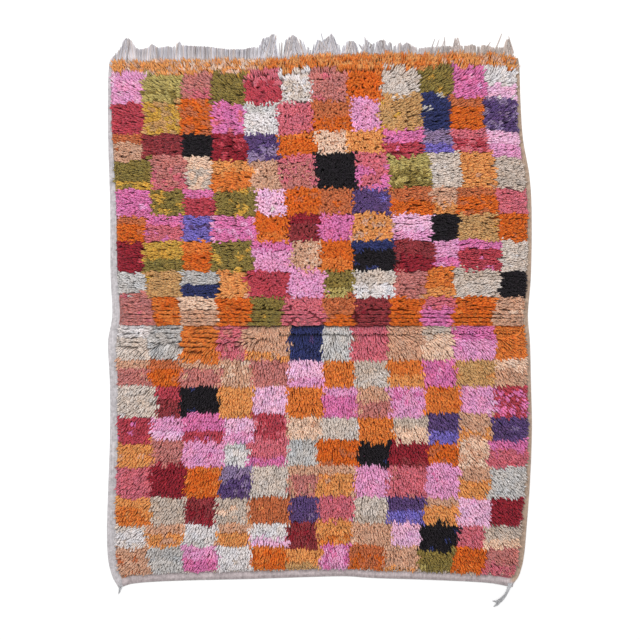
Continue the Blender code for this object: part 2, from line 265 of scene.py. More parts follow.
# Single warp ends that lie apart, each from its root to its tip
Stray = namedtuple("Stray", "across along tip_across tip_along")
STRAYS = (
    Stray(0.015, 0.800, 0.004, 0.847), Stray(0.322, 0.785, 0.337, 0.829),
    Stray(0.335, 0.785, 0.351, 0.827), Stray(0.352, 0.785, 0.364, 0.822),
    Stray(0.367, 0.785, 0.368, 0.834), Stray(0.474, 0.780, 0.503, 0.818),
    Stray(0.511, 0.785, 0.537, 0.844), Stray(0.569, 0.785, 0.554, 0.836),
)
STRAY_GIRTH = 0.75
STRAY_HEIGHT = 0.0036
STRAY_LEVELS = (0.75, 1.0)

# The two tails off the foot's corners: the middle line with its widths, how many yarns, how often
# they turn around each other, and the share of the length over which they part in two
TailStep = namedtuple("TailStep", "across along width")
Tail = namedtuple("Tail", "name steps yarns turns parting")
TAILS = (
    Tail("tail_left", (
        TailStep(-0.5850, -0.7780, 0.0120), TailStep(-0.5872, -0.7870, 0.0086),
        TailStep(-0.5888, -0.7935, 0.0056), TailStep(-0.5905, -0.7995, 0.0040),
        TailStep(-0.5928, -0.8055, 0.0018)), 5, 0.6, 0.0),
    Tail("tail_right", (
        TailStep(0.5590, -0.7740, 0.0160), TailStep(0.5578, -0.7808, 0.0120),
        TailStep(0.5552, -0.7866, 0.0084), TailStep(0.5504, -0.7986, 0.0070),
        TailStep(0.5436, -0.8106, 0.0078), TailStep(0.5330, -0.8222, 0.0104),
        TailStep(0.5200, -0.8322, 0.0160), TailStep(0.5080, -0.8344, 0.0212)), 8, 1.6, 0.3),
)
TAIL_RADIUS = 0.0015
TAIL_SIDES = 5
TAIL_BLUNT = 0.6
TAIL_FINENESS = 4
TAIL_HEIGHT = 0.0027
TAIL_ARCH = 0.0010
TAIL_INSET = 0.0009
TAIL_APART = 0.9

# A height or a length under this counts as none
TINY = 1e-4
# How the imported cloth's border is read: points nearer than this are one, and the pile's borders
# lie within these distances of the sides. A few rounds find where a row meets a side
SAME_PLACE = 1e-5
PLACE_DIGITS = 5
LEFT_MARGIN = 0.03
RIGHT_MARGIN = 0.025
MIDDLE_PART = 0.05
ROUNDS = 6

# How far the knots keep inside the pile's side borders
PILE_INSET = 0.008
# How far a yarn stays short of its room, and the least share of its length that it keeps
STRAND_ROOM = 0.003
SHORTEST_REACH = 0.3
# Past these places across, the lowest rows run on as they lie there, and don't follow the foot
FOOT_CORNERS = (-0.535, 0.505)
# How far yarns may hide the head's edge
HEAD_COVER = 0.007
# The strip at the foot in which some knots are beige, and their share
FOOT_MIX = 0.008
FOOT_MIX_SHARE = 0.35

# The fold across the rug, how near it rows are straight, and the first knot rows beside it
FOLD_Y = -0.017
STRAIGHT_BAND = 0.12
ROWS_ABOVE_FOLD = (0.0055, 0.0168, 0.0280, 0.0395, 0.0515, 0.0640)
ROWS_BELOW_FOLD = (0.0020, 0.0140)
ROW_MARGIN = 0.002
# Above the fold, the rows in this band lie folded over
FOLD_BAND = 0.050
# Below the fold, the rows left of a place lie folded too, and a short ledge runs right of another
LEFT_FOLDS = -0.20
LEFT_FOLD_BAND = 0.058
LEFT_FOLD_PULL = (-1.0, -0.30)
FOLD_GAPS_BELOW = -0.15
LEDGE_FROM = -0.13
LEDGE = 0.0250
# A folded knot points along its row's wave, taken over this length
FOLD_STRAND = 0.016
# What is left of a row's own wave in a fold, and how the fold's wave is stretched along the rug
WAVE_IN_FOLD = 0.5
FOLD_STRETCH = 0.5

# The lean parts to both sides of the rug over this span of the half width
HALF_WIDTH = 0.6
PARTING = (0.12, 0.55)
# A sideways lean or a way this slight counts as none
SLIGHT = 0.05
# Above the fold, as shares of the way up: where the pile is brushed to the head, which narrows its
# sideways lean, and where it rises at the sides
BRUSHING = (0.885, 0.955)
HEAD_PULL = 1.1
HEAD_NARROWING = 0.55
RISING = (0.6, 0.9)
RISING_PULL = 0.45
EDDIES_ABOVE = 0.28
# From these strengths of lean on, a knot is brushed, lies or leans
BRUSHED_FROM = 0.6
LYING_FROM = 0.72
LEANING_FROM = 0.34
# Below the fold, the lean turns outwards with the place across, and more just beside the fold
OUTWARD_PULL = 0.85
OUTWARD_CURVE = 0.4
BESIDE_FOLD = (0.03, 0.10)
BESIDE_PULL = -0.45
EDDIES_BELOW = 0.30

# How loosely knots lie in a fold, and in the middle of the upper half
FOLD_LOOSE = 0.5
MIDDLE_LOOSE = 1.6
MIDDLE = (0.10, 0.30)
# Every second row is set off by half a knot
ROW_OFFSET = 0.5
# Chances of a single knot: its mixed dye, its height in the squares, its level and tint of colour
# and its room
MIX_CHANCE = 0.6
MIX_STRETCH = 0.4
HEIGHT_CHANCE = 0.001
LEVEL_CHANCE = 0.07
TINT_CHANCE = 0.03
ROOM_CHANCE = 0.005
# The least height of a knot, and its reach without a lean and what a full lean adds
LOWEST_TOP = 0.012
REACH = 0.85
REACH_BY_LEAN = 0.2

# The ground: how far its first rows lie from the foot's edge and its last but one from the head,
# the steps across a rib, the pile's usual width, and the shapes of ribs, hem and crease
HEM_ROWS = (0.0, 0.0015, 0.0035, 0.0055, 0.010, 0.016, 0.021)
HEAD_HEM = 0.004
RIB_STEPS = 4
PILE_WIDTH = 1.18
RIB_POWER = 0.6
HEM_ROLL = 0.006
HEM_CORNER = 0.014
# Painted shade on the hem's rolled outer edge
HEM_EDGE_SHADOW = 0.72
CREASE_OFFSET = 0.016
CREASE_WIDTH = 0.012
CREASE_SHARE = 0.6
LEFT_SIDE, UNDER_PILE, RIGHT_SIDE = range(3)

# The look of the ground: its level, the weave's pitches, the scale, detail and strength of each
# grain, the streaks' stretch, the painted shadow that darkens it under the pile, and how far warp,
# weft and grain stand out, with the ribs painted lighter and darker as painted shade
GROUND_LEVEL = 0.86
WARP_PITCH = 0.0046
WEFT_PITCH = 0.0034
CLOUDS = (60.0, 4.0, 0.35)
STREAKS = (260.0, 3.0, 0.45)
STREAK_STRETCH = (1.0, 0.12, 1.0)
TUFTS = (130.0, 3.0, 0.95)
FINE_GRAIN = (700.0, 2.0, 0.4)
UNDER_PILE_SHADOW = 0.25
WARP_RELIEF = 0.5
WEFT_RELIEF = 0.35
GRAIN_RELIEF = 0.5
RIB_SHADE = 0.05
GROUND_BUMP = 0.6
GROUND_DEPTH = 0.0008
# The look of wool: its level, the painted shade that darkens a yarn in the knot and the painted
# light that makes a pale dye paler there, how much more even a pale dye is, scale and strength of
# its clouds and fibres, stretch and strength of the streaks combed around, along and from yarn to
# yarn, and the paler cut end, partly faded wool and partly painted highlight
WOOL_LEVEL = 0.89
PALE_ROOT_LIGHT = 1.5
ROOT_SHADE_SPAN = (0.1, 0.75)
UNEVENNESS = (0.42, 0.46)
WOOL_CLOUDS = (34.0, 0.12)
FIBRES = (900.0, 0.10)
COMBING = (14.0, 2.5, 40.0)
COMBED = 0.14
CUT_END = (0.65, 1.0)
FADE_AND_HIGHLIGHT_GAIN = (1.12, 1.12, 1.12)
FADE_AND_HIGHLIGHT_WHITE = (0.02, 0.02, 0.02)
# Turns of the two plies along and around a yarn, and how far plies and fibres stand out
PLY_TURNS = (4.0, 2.0)
PLY_RELIEF = 0.4
FIBRE_RELIEF = 0.5
WOOL_BUMP = 0.5

# The stage: the floor just under the rug, the lamp, the camera's sensor in millimetres, and the
# height at which the picture's width is measured, and the floor's darker grain
FLOOR_LEVEL = -0.0002
KEY_SIZE = 2.4
KEY_PLACE = (-0.35, 1.15, 3.5)
SENSOR_WIDTH = 36.0
FITTED_LEVEL = 0.004
FLOOR_SHADE = 0.985


class Value:
    """A node's output that can be used in plain sums, which become Math nodes."""

    def __init__(self, tree, socket):
        self.tree = tree
        self.socket = socket

    def other(self, name):
        """Another output of the same node."""
        found = [out for out in self.socket.node.outputs if out.name == name and out.enabled]
        return Value(self.tree, found[0])

    def math(self, operation, *values):
        names = ("Value", "Value_001", "Value_002")
        return self.tree.add("ShaderNodeMath", {"operation": operation}, dict(zip(names, values)))

    def __add__(self, other):
        return self.math("ADD", self, other)

    def __radd__(self, other):
        return self.math("ADD", other, self)

    def __sub__(self, other):
        return self.math("SUBTRACT", self, other)

    def __rsub__(self, other):
        return self.math("SUBTRACT", other, self)

    def __mul__(self, other):
        return self.math("MULTIPLY", self, other)

    def __rmul__(self, other):
        return self.math("MULTIPLY", other, self)

    def __truediv__(self, other):
        return self.math("DIVIDE", self, other)

    def __rtruediv__(self, other):
        return self.math("DIVIDE", other, self)


class Tree:
    """Builds a node tree: every node comes from add."""

    def __init__(self, tree):
        self.tree = tree

    def add(self, kind, settings=None, inputs=None):
        """Make a node, set it up, fill or link its sockets, and return its first output."""
        node = self.tree.nodes.new(kind)
        for name, value in (settings or {}).items():
            setattr(node, name, value)
        for name, value in (inputs or {}).items():
            self.feed(node, name, value)
        outputs = [out for out in node.outputs if out.enabled]
        return Value(self, outputs[0]) if outputs else node

    def feed(self, node, name, value):
        """Fill or link one input, found by its identifier or else by its name."""
        places = [place for place in node.inputs if place.enabled]
        found = [place for place in places if place.identifier == name]
        found += [place for place in places if place.name == name]
        if not found:
            raise KeyError(f"{node.bl_idname} has no input {name}")
        if isinstance(value, Value):
            self.tree.links.new(value.socket, found[0])
        else:
            found[0].default_value = value

    def noise(self, spot, scale, detail=2.0):
        """Noise from 0 to 1 over a place."""
        made = self.add("ShaderNodeTexNoise", None, {"Vector": spot, "Scale": scale, "Detail": detail})
        return made.other("Fac")

    def attribute(self, name):
        return self.add("ShaderNodeAttribute", {"attribute_name": name})

    def step(self, value, low, high, low_value, high_value):
        """A smooth change from one value to another while another runs from low to high."""
        return self.add("ShaderNodeMapRange", {"interpolation_type": "SMOOTHSTEP"}, {
            "Value": value, "From Min": low, "From Max": high, "To Min": low_value,
            "To Max": high_value})

    def mix(self, share, first, second):
        """A colour between two others."""
        return self.add("ShaderNodeMix", {"data_type": "RGBA"}, {
            "Factor_Float": share, "A_Color": first, "B_Color": second}).other("Result")


def new_material(name, roughness, specular=0.5):
    """A new material, its shader and its tree."""
    material = bpy.data.materials.new(name)
    material.use_nodes = True
    shader = material.node_tree.nodes["Principled BSDF"]
    tree = Tree(material.node_tree)
    tree.feed(shader, "Roughness", roughness)
    tree.feed(shader, "Specular IOR Level", specular)
    return material, shader, tree


def linear(colour):
    """A screen colour as the linear colour that a shader takes."""
    return (*Color(colour).from_srgb_to_scene_linear(), 1.0)


def scaled(colour, *factors):
    """A linear colour made lighter or darker, as a whole or in each channel."""
    factors = factors if len(factors) > 1 else factors * 3
    return [channel * factor for channel, factor in zip(colour[:3], factors)] + [1.0]


def colour_gap(dye, other):
    return (Vector(dye.colour) - Vector(other.colour)).length


def clamp(value, low, high):
    return min(max(value, low), high)


def smooth_step(low, high, value):
    share = clamp((value - low) / (high - low), 0.0, 1.0)
    return share * share * (3 - 2 * share)


class Wander:
    """Smooth chance, about as strong as an amount both ways, that changes over a size."""

    NOISE_SPAN = 1.6

    def __init__(self, amount, size, layer):
        self.amount = amount
        self.size = size
        self.layer = layer

    def __call__(self, x, y=0.0):
        spot = Vector((x / self.size, y / self.size, self.layer))
        return noise.noise(spot) * self.NOISE_SPAN * self.amount


# Amount, size and layer of each smooth chance; chances in different layers don't move together
HEAD_EDGE = Wander(0.008, 1.0, 0.0)
EDDY_ABOVE = (Wander(1.0, 0.05, 1.0), Wander(1.0, 0.05, 2.0))
MIDDLE_WAY = Wander(1.0, 0.08, 3.0)
EDDY_BELOW = (Wander(1.0, 0.045, 4.0), Wander(1.0, 0.045, 5.0))
ROW_WAVE = Wander(1.0, 0.07, 6.0)
LEVEL_WAVE = Wander(0.10, 0.018, 7.0)
TINT_WAVE = Wander(0.05, 0.03, 8.0)
FRINGE_WAVE = Wander(0.004, 0.03, 8.0)
MIX_WAVE = Wander(0.45, 0.016, 9.0)
FOLD_WAVE = Wander(0.0021, 0.017, 10.0)
ROOM_WAVE = Wander(0.004, 0.03, 11.0)
LEFT_FOLDS_END = Wander(0.06, 0.03, 12.0)
LEDGE_EDGE = Wander(0.0015, 0.03, 13.0)
FOLD_EDGE = Wander(0.014, 0.07, 14.0)
LEFT_FOLD_EDGE = Wander(0.02, 0.08, 14.0)
FOLD_GAPS = Wander(1.0, 0.04, 15.0)


class Line:
    """A border that runs across (axis 0) or along (axis 1) the rug, read at a place on that axis."""

    def __init__(self, points, axis):
        points = sorted(points, key=lambda point: point[axis])
        self.places = np.array([point[axis] for point in points])
        self.values = np.array([point[1 - axis] for point in points])

    def __call__(self, place):
        return float(np.interp(place, self.places, self.values))


class Cloth:
    """The rug's edges, the pile's borders and its height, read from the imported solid."""

    def __init__(self, node):
        points = [tuple(vert.co) for vert in node.data.vertices]
        faces = [tuple(face.vertices) for face in node.data.polygons]
        self.surface = BVHTree.FromPolygons(points, faces)
        mesh = bmesh.new()
        mesh.from_mesh(node.data)
        bmesh.ops.remove_doubles(mesh, verts=mesh.verts, dist=SAME_PLACE)
        floor = [face for face in mesh.faces if all(vert.co.z < TINY for vert in face.verts)]
        ring = self.walk_edge(floor)
        self.foot, self.right, self.head, self.left = self.cut_sides(ring)
        inner = self.pile_border(mesh, ring)
        mesh.free()
        self.pile_left = Line([p for p in inner if p[0] - self.left(p[1]) < LEFT_MARGIN], 1)
        self.pile_right = Line([p for p in inner if self.right(p[1]) - p[0] < RIGHT_MARGIN], 1)
        self.foot_y = self.foot(0.0)
        self.head_y = self.head(0.0)
        middle = [p[1] for p in inner if abs(p[0]) < MIDDLE_PART]
        self.pile_start = min(middle)
        self.pile_end = max(middle)

    @staticmethod
    def cut_sides(ring):
        """The four sides of a ring of points, from its foot counter-clockwise."""
        count = len(ring)
        corners = [pick(range(count), key=lambda i: ring[i][0] + sign * ring[i][1])
                   for pick, sign in ((min, 1), (max, -1), (max, 1), (min, -1))]
        lines = []
        for number, (start, end) in enumerate(zip(corners, corners[1:] + corners[:1])):
            forward = [ring[i % count] for i in range(start, start + (end - start) % count + 1)]
            backward = [ring[i % count] for i in range(start, start - (start - end) % count - 1, -1)]
            lines.append(Line(min(forward, backward, key=len), number % 2))
        return lines

    @staticmethod
    def walk_edge(faces):
        """The border of a patch of faces as one ring of points."""
        inside = set(faces)
        links = {}
        for face in faces:
            for edge in face.edges:
                if sum(other in inside for other in edge.link_faces) == 1:
                    a, b = edge.verts
                    links.setdefault(a, []).append(b)
                    links.setdefault(b, []).append(a)
        start = next(iter(links))
        ring, before, here = [start], None, start
        while True:
            after = next(vert for vert in links[here] if vert is not before)
            if after is start:
                break
            ring.append(after)
            before, here = here, after
        return [(vert.co.x, vert.co.y) for vert in ring]

    @staticmethod
    def pile_border(mesh, ring):
        """Points on the thin margins' inner line, where the pile starts."""
        def place(co):
            return (round(co[0], PLACE_DIGITS), round(co[1], PLACE_DIGITS))

        outline = {place(point) for point in ring}
        rim = [vert for vert in mesh.verts if vert.co.z > TINY and place(vert.co) in outline]
        level = sum(vert.co.z for vert in rim) / len(rim)
        found = {}
        for vert in rim:
            for edge in vert.link_edges:
                for face in edge.link_faces:
                    for near in face.verts:
                        if abs(near.co.z - level) < SAME_PLACE and place(near.co) not in outline:
                            found[place(near.co)] = (near.co.x, near.co.y)
        return list(found.values())

    def bend(self, x, nominal):
        """Where a straight row lies at x: it follows the foot and the head, and not the fold."""
        low, high = FOLD_Y - STRAIGHT_BAND, FOLD_Y + STRAIGHT_BAND
        foot_share = clamp((nominal - low) / (self.foot_y - low), 0.0, 1.0)
        head_share = clamp((nominal - high) / (self.head_y - high), 0.0, 1.0)
        shift = foot_share * (self.foot(x) - self.foot_y) + head_share * (self.head(x) - self.head_y)
        return nominal + shift

    def met(self, side, nominal):
        """The place across where a bent row meets one of the side lines."""
        y = nominal
        for _ in range(ROUNDS):
            x = side(y)
            y = self.bend(x, nominal)
        return x

    def top(self, x, y):
        """Height of the solid pile at a place, or 0 past its edge."""
        hit = self.surface.ray_cast(Vector((x, y, 1.0)), -UP)[0]
        return hit.z if hit else 0.0


CLOTH = Cloth(frame["nodes"]["rug"])
FRINGE_LINE = Line(FRINGE_EDGE, 0)


Square = namedtuple("Square", "dye kin split mixed")


class Checks:
    """The weaver's squares: which dye is knotted where, from one seeded rule."""

    def __init__(self, settings):
        rng = random.Random(settings.seed)
        self.columns = settings.columns
        self.bands = settings.bands
        self.start = CLOTH.pile_start
        self.end = CLOTH.pile_end - settings.head_band
        drift = [0.0] * (self.columns + 1)
        self.borders = []
        for _ in range(self.bands):
            row = [0.0]
            for column in range(1, self.columns):
                drift[column] *= DRIFT_KEPT
                drift[column] += rng.uniform(-1, 1) * settings.border_shift * DRIFT_ADDED
                shift = drift[column] + rng.uniform(-1, 1) * settings.border_shift * OWN_SHIFT
                row.append(column / self.columns + shift)
            self.borders.append(row + [1.0])
        self.upper = self.bands // 2
        self.levels = [
            low + (high - low) * (step + rng.uniform(-BAND_SHIFT, BAND_SHIFT) * (step > 0)) / count
            for low, high, count in ((self.start, FOLD_Y, self.upper),
                                     (FOLD_Y, self.end, self.bands - self.upper))
            for step in range(count)
        ] + [self.end]
        self.steps = [
            [rng.uniform(-1, 1) * settings.border_step * (band != self.upper)
             for _ in range(self.columns)]
            for band in range(self.bands + 1)
        ]
        self.squares = self.dye_squares(rng, settings.two_tone, settings.mottled)

    def dye_squares(self, rng, two_tone, mottled):
        """Choose each square's dye, and where a kin dye takes over inside it."""
        squares = []
        for band in range(self.bands):
            squares.append([])
            for column in range(self.columns):
                weights = [self.weight(dye, squares, band, column) for dye in DYES]
                dye = rng.choices(DYES, weights)[0]
                kin = DYE[rng.choice(dye.kin)]
                split = rng.uniform(*TAKEN_OVER) if rng.random() < two_tone else NEVER_TAKEN
                mixed = rng.uniform(*MIXED_IN) if rng.random() < mottled else HARDLY_MIXED
                if dye.piece == "dark":
                    mixed = 0.0
                squares[band].append(Square(dye, kin, split, mixed))
        return squares

    def weight(self, dye, squares, band, column):
        """How readily a dye is taken for a square, after the squares beside and below it."""
        above = band >= self.upper
        below = [square.dye for square in squares[band - 1]] if band else []
        beside = [square.dye for square in squares[band][-1:]] + below[column:column + 1]
        if dye.piece in [other.piece for other in beside]:
            return 0
        if dye.piece == "dark" and self.dark_near(squares, band, column):
            return 0
        weight = dye.above if above else dye.below
        if min([colour_gap(dye, other) for other in beside], default=1) < ALIKE:
            weight *= ALIKE_ABOVE if above else ALIKE_BELOW
        if dye in [below[c] for c in (column - 1, column + 1) if 0 <= c < len(below)]:
            weight *= SAME_AT_CORNER
        return weight

    @staticmethod
    def dark_near(squares, band, column):
        for row in squares[max(band - DARK_APART, 0):band + 1]:
            for place, square in enumerate(row):
                if abs(place - column) < DARK_APART and square.dye.piece == "dark":
                    return True
        return False

    def dye_at(self, across, nominal, chance=1.0):
        """The dye at a share of the width and a nominal height up the rug.

        A chance from 0 to 1 picks between the yarns where a square or the head band is mixed.
        """
        if nominal > self.end + HEAD_EDGE(across * HEAD_WAVES, HEAD_ROW):
            names = next(names for edge, names in HEAD_DYES if across < edge)
            return DYE[names[min(int(chance * len(names)), len(names) - 1)]]
        column = min(int(across * self.columns), self.columns - 1)
        band = 0
        while band < self.bands - 1 and nominal > self.levels[band + 1] + self.steps[band + 1][column]:
            band += 1
        row = self.borders[band]
        column = 0
        while column < self.columns - 1 and across > row[column + 1]:
            column += 1
        square = self.squares[band][column]
        share = (nominal - self.levels[band]) / (self.levels[band + 1] - self.levels[band])
        return square.kin if share > square.split or chance < square.mixed else square.dye


def a_length(name, description, default, least=0.0):
    return bpy.props.FloatProperty(
        name=name, description=description, default=default, min=least, subtype="DISTANCE",
        unit="LENGTH")


def an_angle(name, description, degrees):
    return bpy.props.FloatProperty(
        name=name, description=description, default=math.radians(degrees), subtype="ANGLE",
        unit="ROTATION")


def a_share(name, description, default, most=1.0):
    return bpy.props.FloatProperty(
        name=name, description=description, default=default, min=0.0, max=most, subtype="FACTOR")


def a_number(name, description, default, least=0):
    return bpy.props.IntProperty(name=name, description=description, default=default, min=least)


def a_colour(name, description, default):
    return bpy.props.FloatVectorProperty(
        name=name, description=description, default=default, size=3, min=0, max=1,
        subtype="COLOR_GAMMA")


class RugClothSettings(bpy.types.PropertyGroup):
    """Sizes of the woven ground."""

    thickness: a_length("Thickness", "How thick the woven ground is", 0.0030, 0.001)
    cell: a_length("Cell", "Size of the ground's mesh cells under the pile", 0.012, 0.002)
    rib_height: a_length("Rib height", "How far the cords of a selvedge stand out", 0.0011)
    left_ribs: a_number("Left ribs", "Cords in the left selvedge", 3, 1)
    right_ribs: a_number("Right ribs", "Cords in the right selvedge", 2, 1)
    crease_rise: a_length("Crease rise", "How far the ground lifts beside the fold", 0.0030)
    undyed: a_colour("Undyed wool", "Colour of the left selvedge", (0.75, 0.73, 0.74))
    hem_wool: a_colour("Hem wool", "Colour of the hem", (0.74, 0.69, 0.695))
    tan_wool: a_colour("Tan wool", "Colour of the right selvedge", (0.69, 0.60, 0.53))


class RugPileSettings(bpy.types.PropertyGroup):
    """Sizes of the knots and of their yarns."""

    row_pitch: a_length("Row pitch", "From one row of knots to the next", 0.0128, 0.005)
    knot_pitch: a_length("Knot pitch", "From one knot to the next along a row", 0.0095, 0.004)
    row_wave: a_length("Row wave", "How far a row wanders off its line", 0.0016)
    knot_shift: a_length("Knot shift", "How far a knot lies off its place", 0.0010)
    yarn_width: a_length("Yarn width", "Thickness of one yarn of the pile", 0.0062, 0.001)
    knot_spread: a_length("Knot spread", "How far a knot's yarns stand apart at the root", 0.0021)
    fan: an_angle("Fan", "How far a knot's yarns turn away from each other", 8)
    turn_spread: an_angle("Turn spread", "How unevenly the knots lean about their way", 6)
    tilt_spread: an_angle("Tilt spread", "How unevenly the knots rise", 7)
    size_spread: a_share("Size spread", "How unevenly long the yarns are", 0.10, 0.5)
    seed: a_number("Seed", "Picks one arrangement of the knots", 11)


class RugCheckSettings(bpy.types.PropertyGroup):
    """The weaver's squares."""

    columns: a_number("Columns", "Squares across the rug", 12, 2)
    bands: a_number("Bands", "Squares from the hem to the head band", 18, 2)
    head_band: a_length("Head band", "Length of the plain band at the fringe", 0.050)
    border_shift: a_share(
        "Border shift", "How far a border wanders, as a share of the width", 0.011, 0.04)
    border_step: a_length("Border step", "How far a square's top lies off its band", 0.0055)
    two_tone: a_share("Two-tone share", "Share of squares in which a kin dye takes over", 0.40)
    mottled: a_share("Mottled share", "Share of squares with a kin dye mixed in", 0.35)
    seed: a_number("Seed", "Picks one layout of the squares", 998)


class RugDyeSettings(bpy.types.PropertyGroup):
    """One colour for each dye."""

    __annotations__ = {
        dye.name: a_colour(
            dye.name.replace("_", " ").capitalize(), "Colour of this dyed yarn", dye.colour)
        for dye in DYES
    }


class RugFringeSettings(bpy.types.PropertyGroup):
    """Sizes of the loose warp."""

    yarn_width: a_length("Yarn width", "Thickness of one warp end", 0.0046, 0.001)
    yarn_pitch: a_length("Yarn pitch", "From one warp end to the next", 0.0020, 0.001)
    bundle: a_length("Bundle", "Width over which warp ends draw together", 0.0122, 0.001)
    colour: a_colour("Colour", "Colour of the undyed warp", (0.69, 0.68, 0.71))
    warm_colour: a_colour(
        "Warm colour", "Colour of the undyed warp near the right corner", (0.71, 0.65, 0.62))
    tail_colour: a_colour("Tail colour", "Colour of the warp in the tails", (0.60, 0.60, 0.61))
    seed: a_number("Seed", "Picks one arrangement of the warp ends", 5)


class RugStageSettings(bpy.types.PropertyGroup):
    """Floor, camera and light."""

    picture_width: a_length(
        "Picture width", "Width of the floor that the picture shows", 1.8816, 0.1)
    camera_height: a_length("Camera height", "Height of the camera over the floor", 4.0, 0.5)
    floor_size: a_length("Floor size", "Side of the square floor", 14.0, 2.0)
    floor_colour: a_colour("Floor colour", "Colour of the plain floor", (0.94, 0.94, 0.94))
    key_power: bpy.props.FloatProperty(
        name="Key light", description="Power of the large lamp past the head",
        default=102.0, min=0.0, unit="POWER")
    fill_strength: bpy.props.FloatProperty(
        name="Fill light", description="Strength of the white surroundings",
        default=0.755, min=0.0)


SETTINGS = {
    "rug_cloth": RugClothSettings,
    "rug_pile": RugPileSettings,
    "rug_checks": RugCheckSettings,
    "rug_dyes": RugDyeSettings,
    "rug_fringe": RugFringeSettings,
    "rug_stage": RugStageSettings,
}


Yarn = namedtuple("Yarn", "path radius sides roll blunt shade")


def map_face(face, uv_layer, spots):
    for loop, spot in zip(face.loops, spots):
        loop[uv_layer].uv = spot


def add_yarn(mesh, uv_layer, yarn):
    """Add one closed yarn, with a map that runs around and along it, and return its points."""
    path, sides = yarn.path, yarn.sides
    last = len(path) - 1
    rings = []
    for number in range(last):
        along = (path[number + 1] - path[max(number - 1, 0)]).normalized()
        side = along.cross(UP)
        side = side.normalized() if side.length > TINY else Vector((0, 1, 0))
        over = side.cross(along)
        width = yarn.radius * (1.0 - (1.0 - yarn.blunt) * (number / last)**2)
        ring = []
        for corner in range(sides):
            turn = yarn.roll + math.tau * corner / sides
            out = side * math.cos(turn) + over * math.sin(turn)
            ring.append(mesh.verts.new(path[number] + out * width))
        rings.append(ring)
    tip = mesh.verts.new(path[-1])
    lengths = [0.0]
    for here, after in zip(path, path[1:]):
        lengths.append(lengths[-1] + (after - here).length)
    heights = [ROOT_STRIP + (1 - ROOT_STRIP) * length / lengths[-1] for length in lengths]
    edges = [corner / sides for corner in range(sides + 1)]
    for here, after, low, high in zip(rings, rings[1:], heights, heights[1:]):
        for corner in range(sides):
            following = (corner + 1) % sides
            face = mesh.faces.new((here[corner], here[following], after[following], after[corner]))
            left, right = edges[corner:corner + 2]
            map_face(face, uv_layer, ((left, low), (right, low), (right, high), (left, high)))
    for corner in range(sides):
        face = mesh.faces.new((rings[-1][corner], rings[-1][(corner + 1) % sides], tip))
        map_face(face, uv_layer, (
            (edges[corner], heights[-2]), (edges[corner + 1], heights[-2]),
            ((corner + 0.5) / sides, heights[-1])))
    root = mesh.faces.new(rings[0][::-1])
    turns = [math.tau * corner / sides for corner in range(sides)]
    map_face(root, uv_layer, [
        (ROOT_SPOT[0] + ROOT_RADII[0] * math.cos(turn), ROOT_SPOT[1] + ROOT_RADII[1] * math.sin(turn))
        for turn in turns])
    return [vert for ring in rings for vert in ring] + [tip]


def yarn_mesh(name, yarns):
    """A mesh of yarns, with each yarn's number and shade on its points."""
    mesh = bmesh.new()
    uv_layer = mesh.loops.layers.uv.new("Yarn")
    number_layer = mesh.verts.layers.int.new("strand")
    shade_layer = mesh.verts.layers.float.new("shade")
    for number, yarn in enumerate(yarns):
        for vert in add_yarn(mesh, uv_layer, yarn):
            vert[number_layer] = number
            vert[shade_layer] = yarn.shade
    bmesh.ops.recalc_face_normals(mesh, faces=mesh.faces)
    data = bpy.data.meshes.new(name)
    mesh.to_mesh(data)
    mesh.free()
    data.shade_smooth()
    return data


def new_patterns(name, patterns):
    """A collection of patterns, each an object made of its yarns."""
    collection = bpy.data.collections.new(name)
    for pattern, yarns in patterns:
        collection.objects.link(bpy.data.objects.new(pattern, yarn_mesh(pattern, yarns)))
    return collection


def clear_patterns(collection):
    for pattern in list(collection.objects):
        data = pattern.data
        bpy.data.objects.remove(pattern)
        bpy.data.meshes.remove(data)
    bpy.data.collections.remove(collection)


def knot_yarns(form, settings, rng):
    """One knot of a form, a small bunch of cut yarns."""
    yarns = []
    for strand in range(form.strands):
        turn = math.tau * (strand + rng.uniform(-PLACE_CHANCE, PLACE_CHANCE)) / form.strands
        root = Vector((math.cos(turn), math.sin(turn), 0)) * (settings.knot_spread * form.spread)
        fan = FAN_CHANCE * rng.uniform(-1, 1) + FAN_SHARE * math.sin(turn)
        fan = fan * settings.fan * form.fan
        way = Vector((math.cos(fan), math.sin(fan), 0))
        reach = 1 + rng.uniform(-1, 1) * form.uneven
        rise = 1 + rng.uniform(-1, 1) * form.uneven * RISE_SHARE
        path = []
        for out, up in form.path:
            wobble = Vector((0, rng.uniform(-1, 1) * WOBBLE, 0)) if up else Vector()
            path.append(root + way * out * reach + wobble + UP * up * rise)
        radius = settings.yarn_width / 2 * form.width * rng.uniform(*WIDTHS)
        yarns.append(Yarn(path, radius, YARN_SIDES, rng.uniform(0, math.tau), form.blunt, rng.random()))
    if form.core:
        path = [Vector((out, 0, up)) for out, up in CORE_PATH]
        yarns.append(Yarn(path, CORE_WIDTH / 2, CORE_SIDES, rng.uniform(0, CORE_ROLL), CORE_BLUNT,
                          CORE_SHADE))
    return yarns


def warp_yarn(blunt, settings, rng):
    """One warp end, a single slightly wavy yarn."""
    path = []
    for out, up in WARP_END:
        stray = rng.uniform(-1, 1) * WARP_STRAY * min(out / STRAY_AFTER, 1.0)
        path.append(Vector((out, stray, up)))
    roll = rng.uniform(0, WARP_ROLL)
    return Yarn(path, settings.yarn_width / 2, WARP_SIDES, roll, blunt, rng.random())


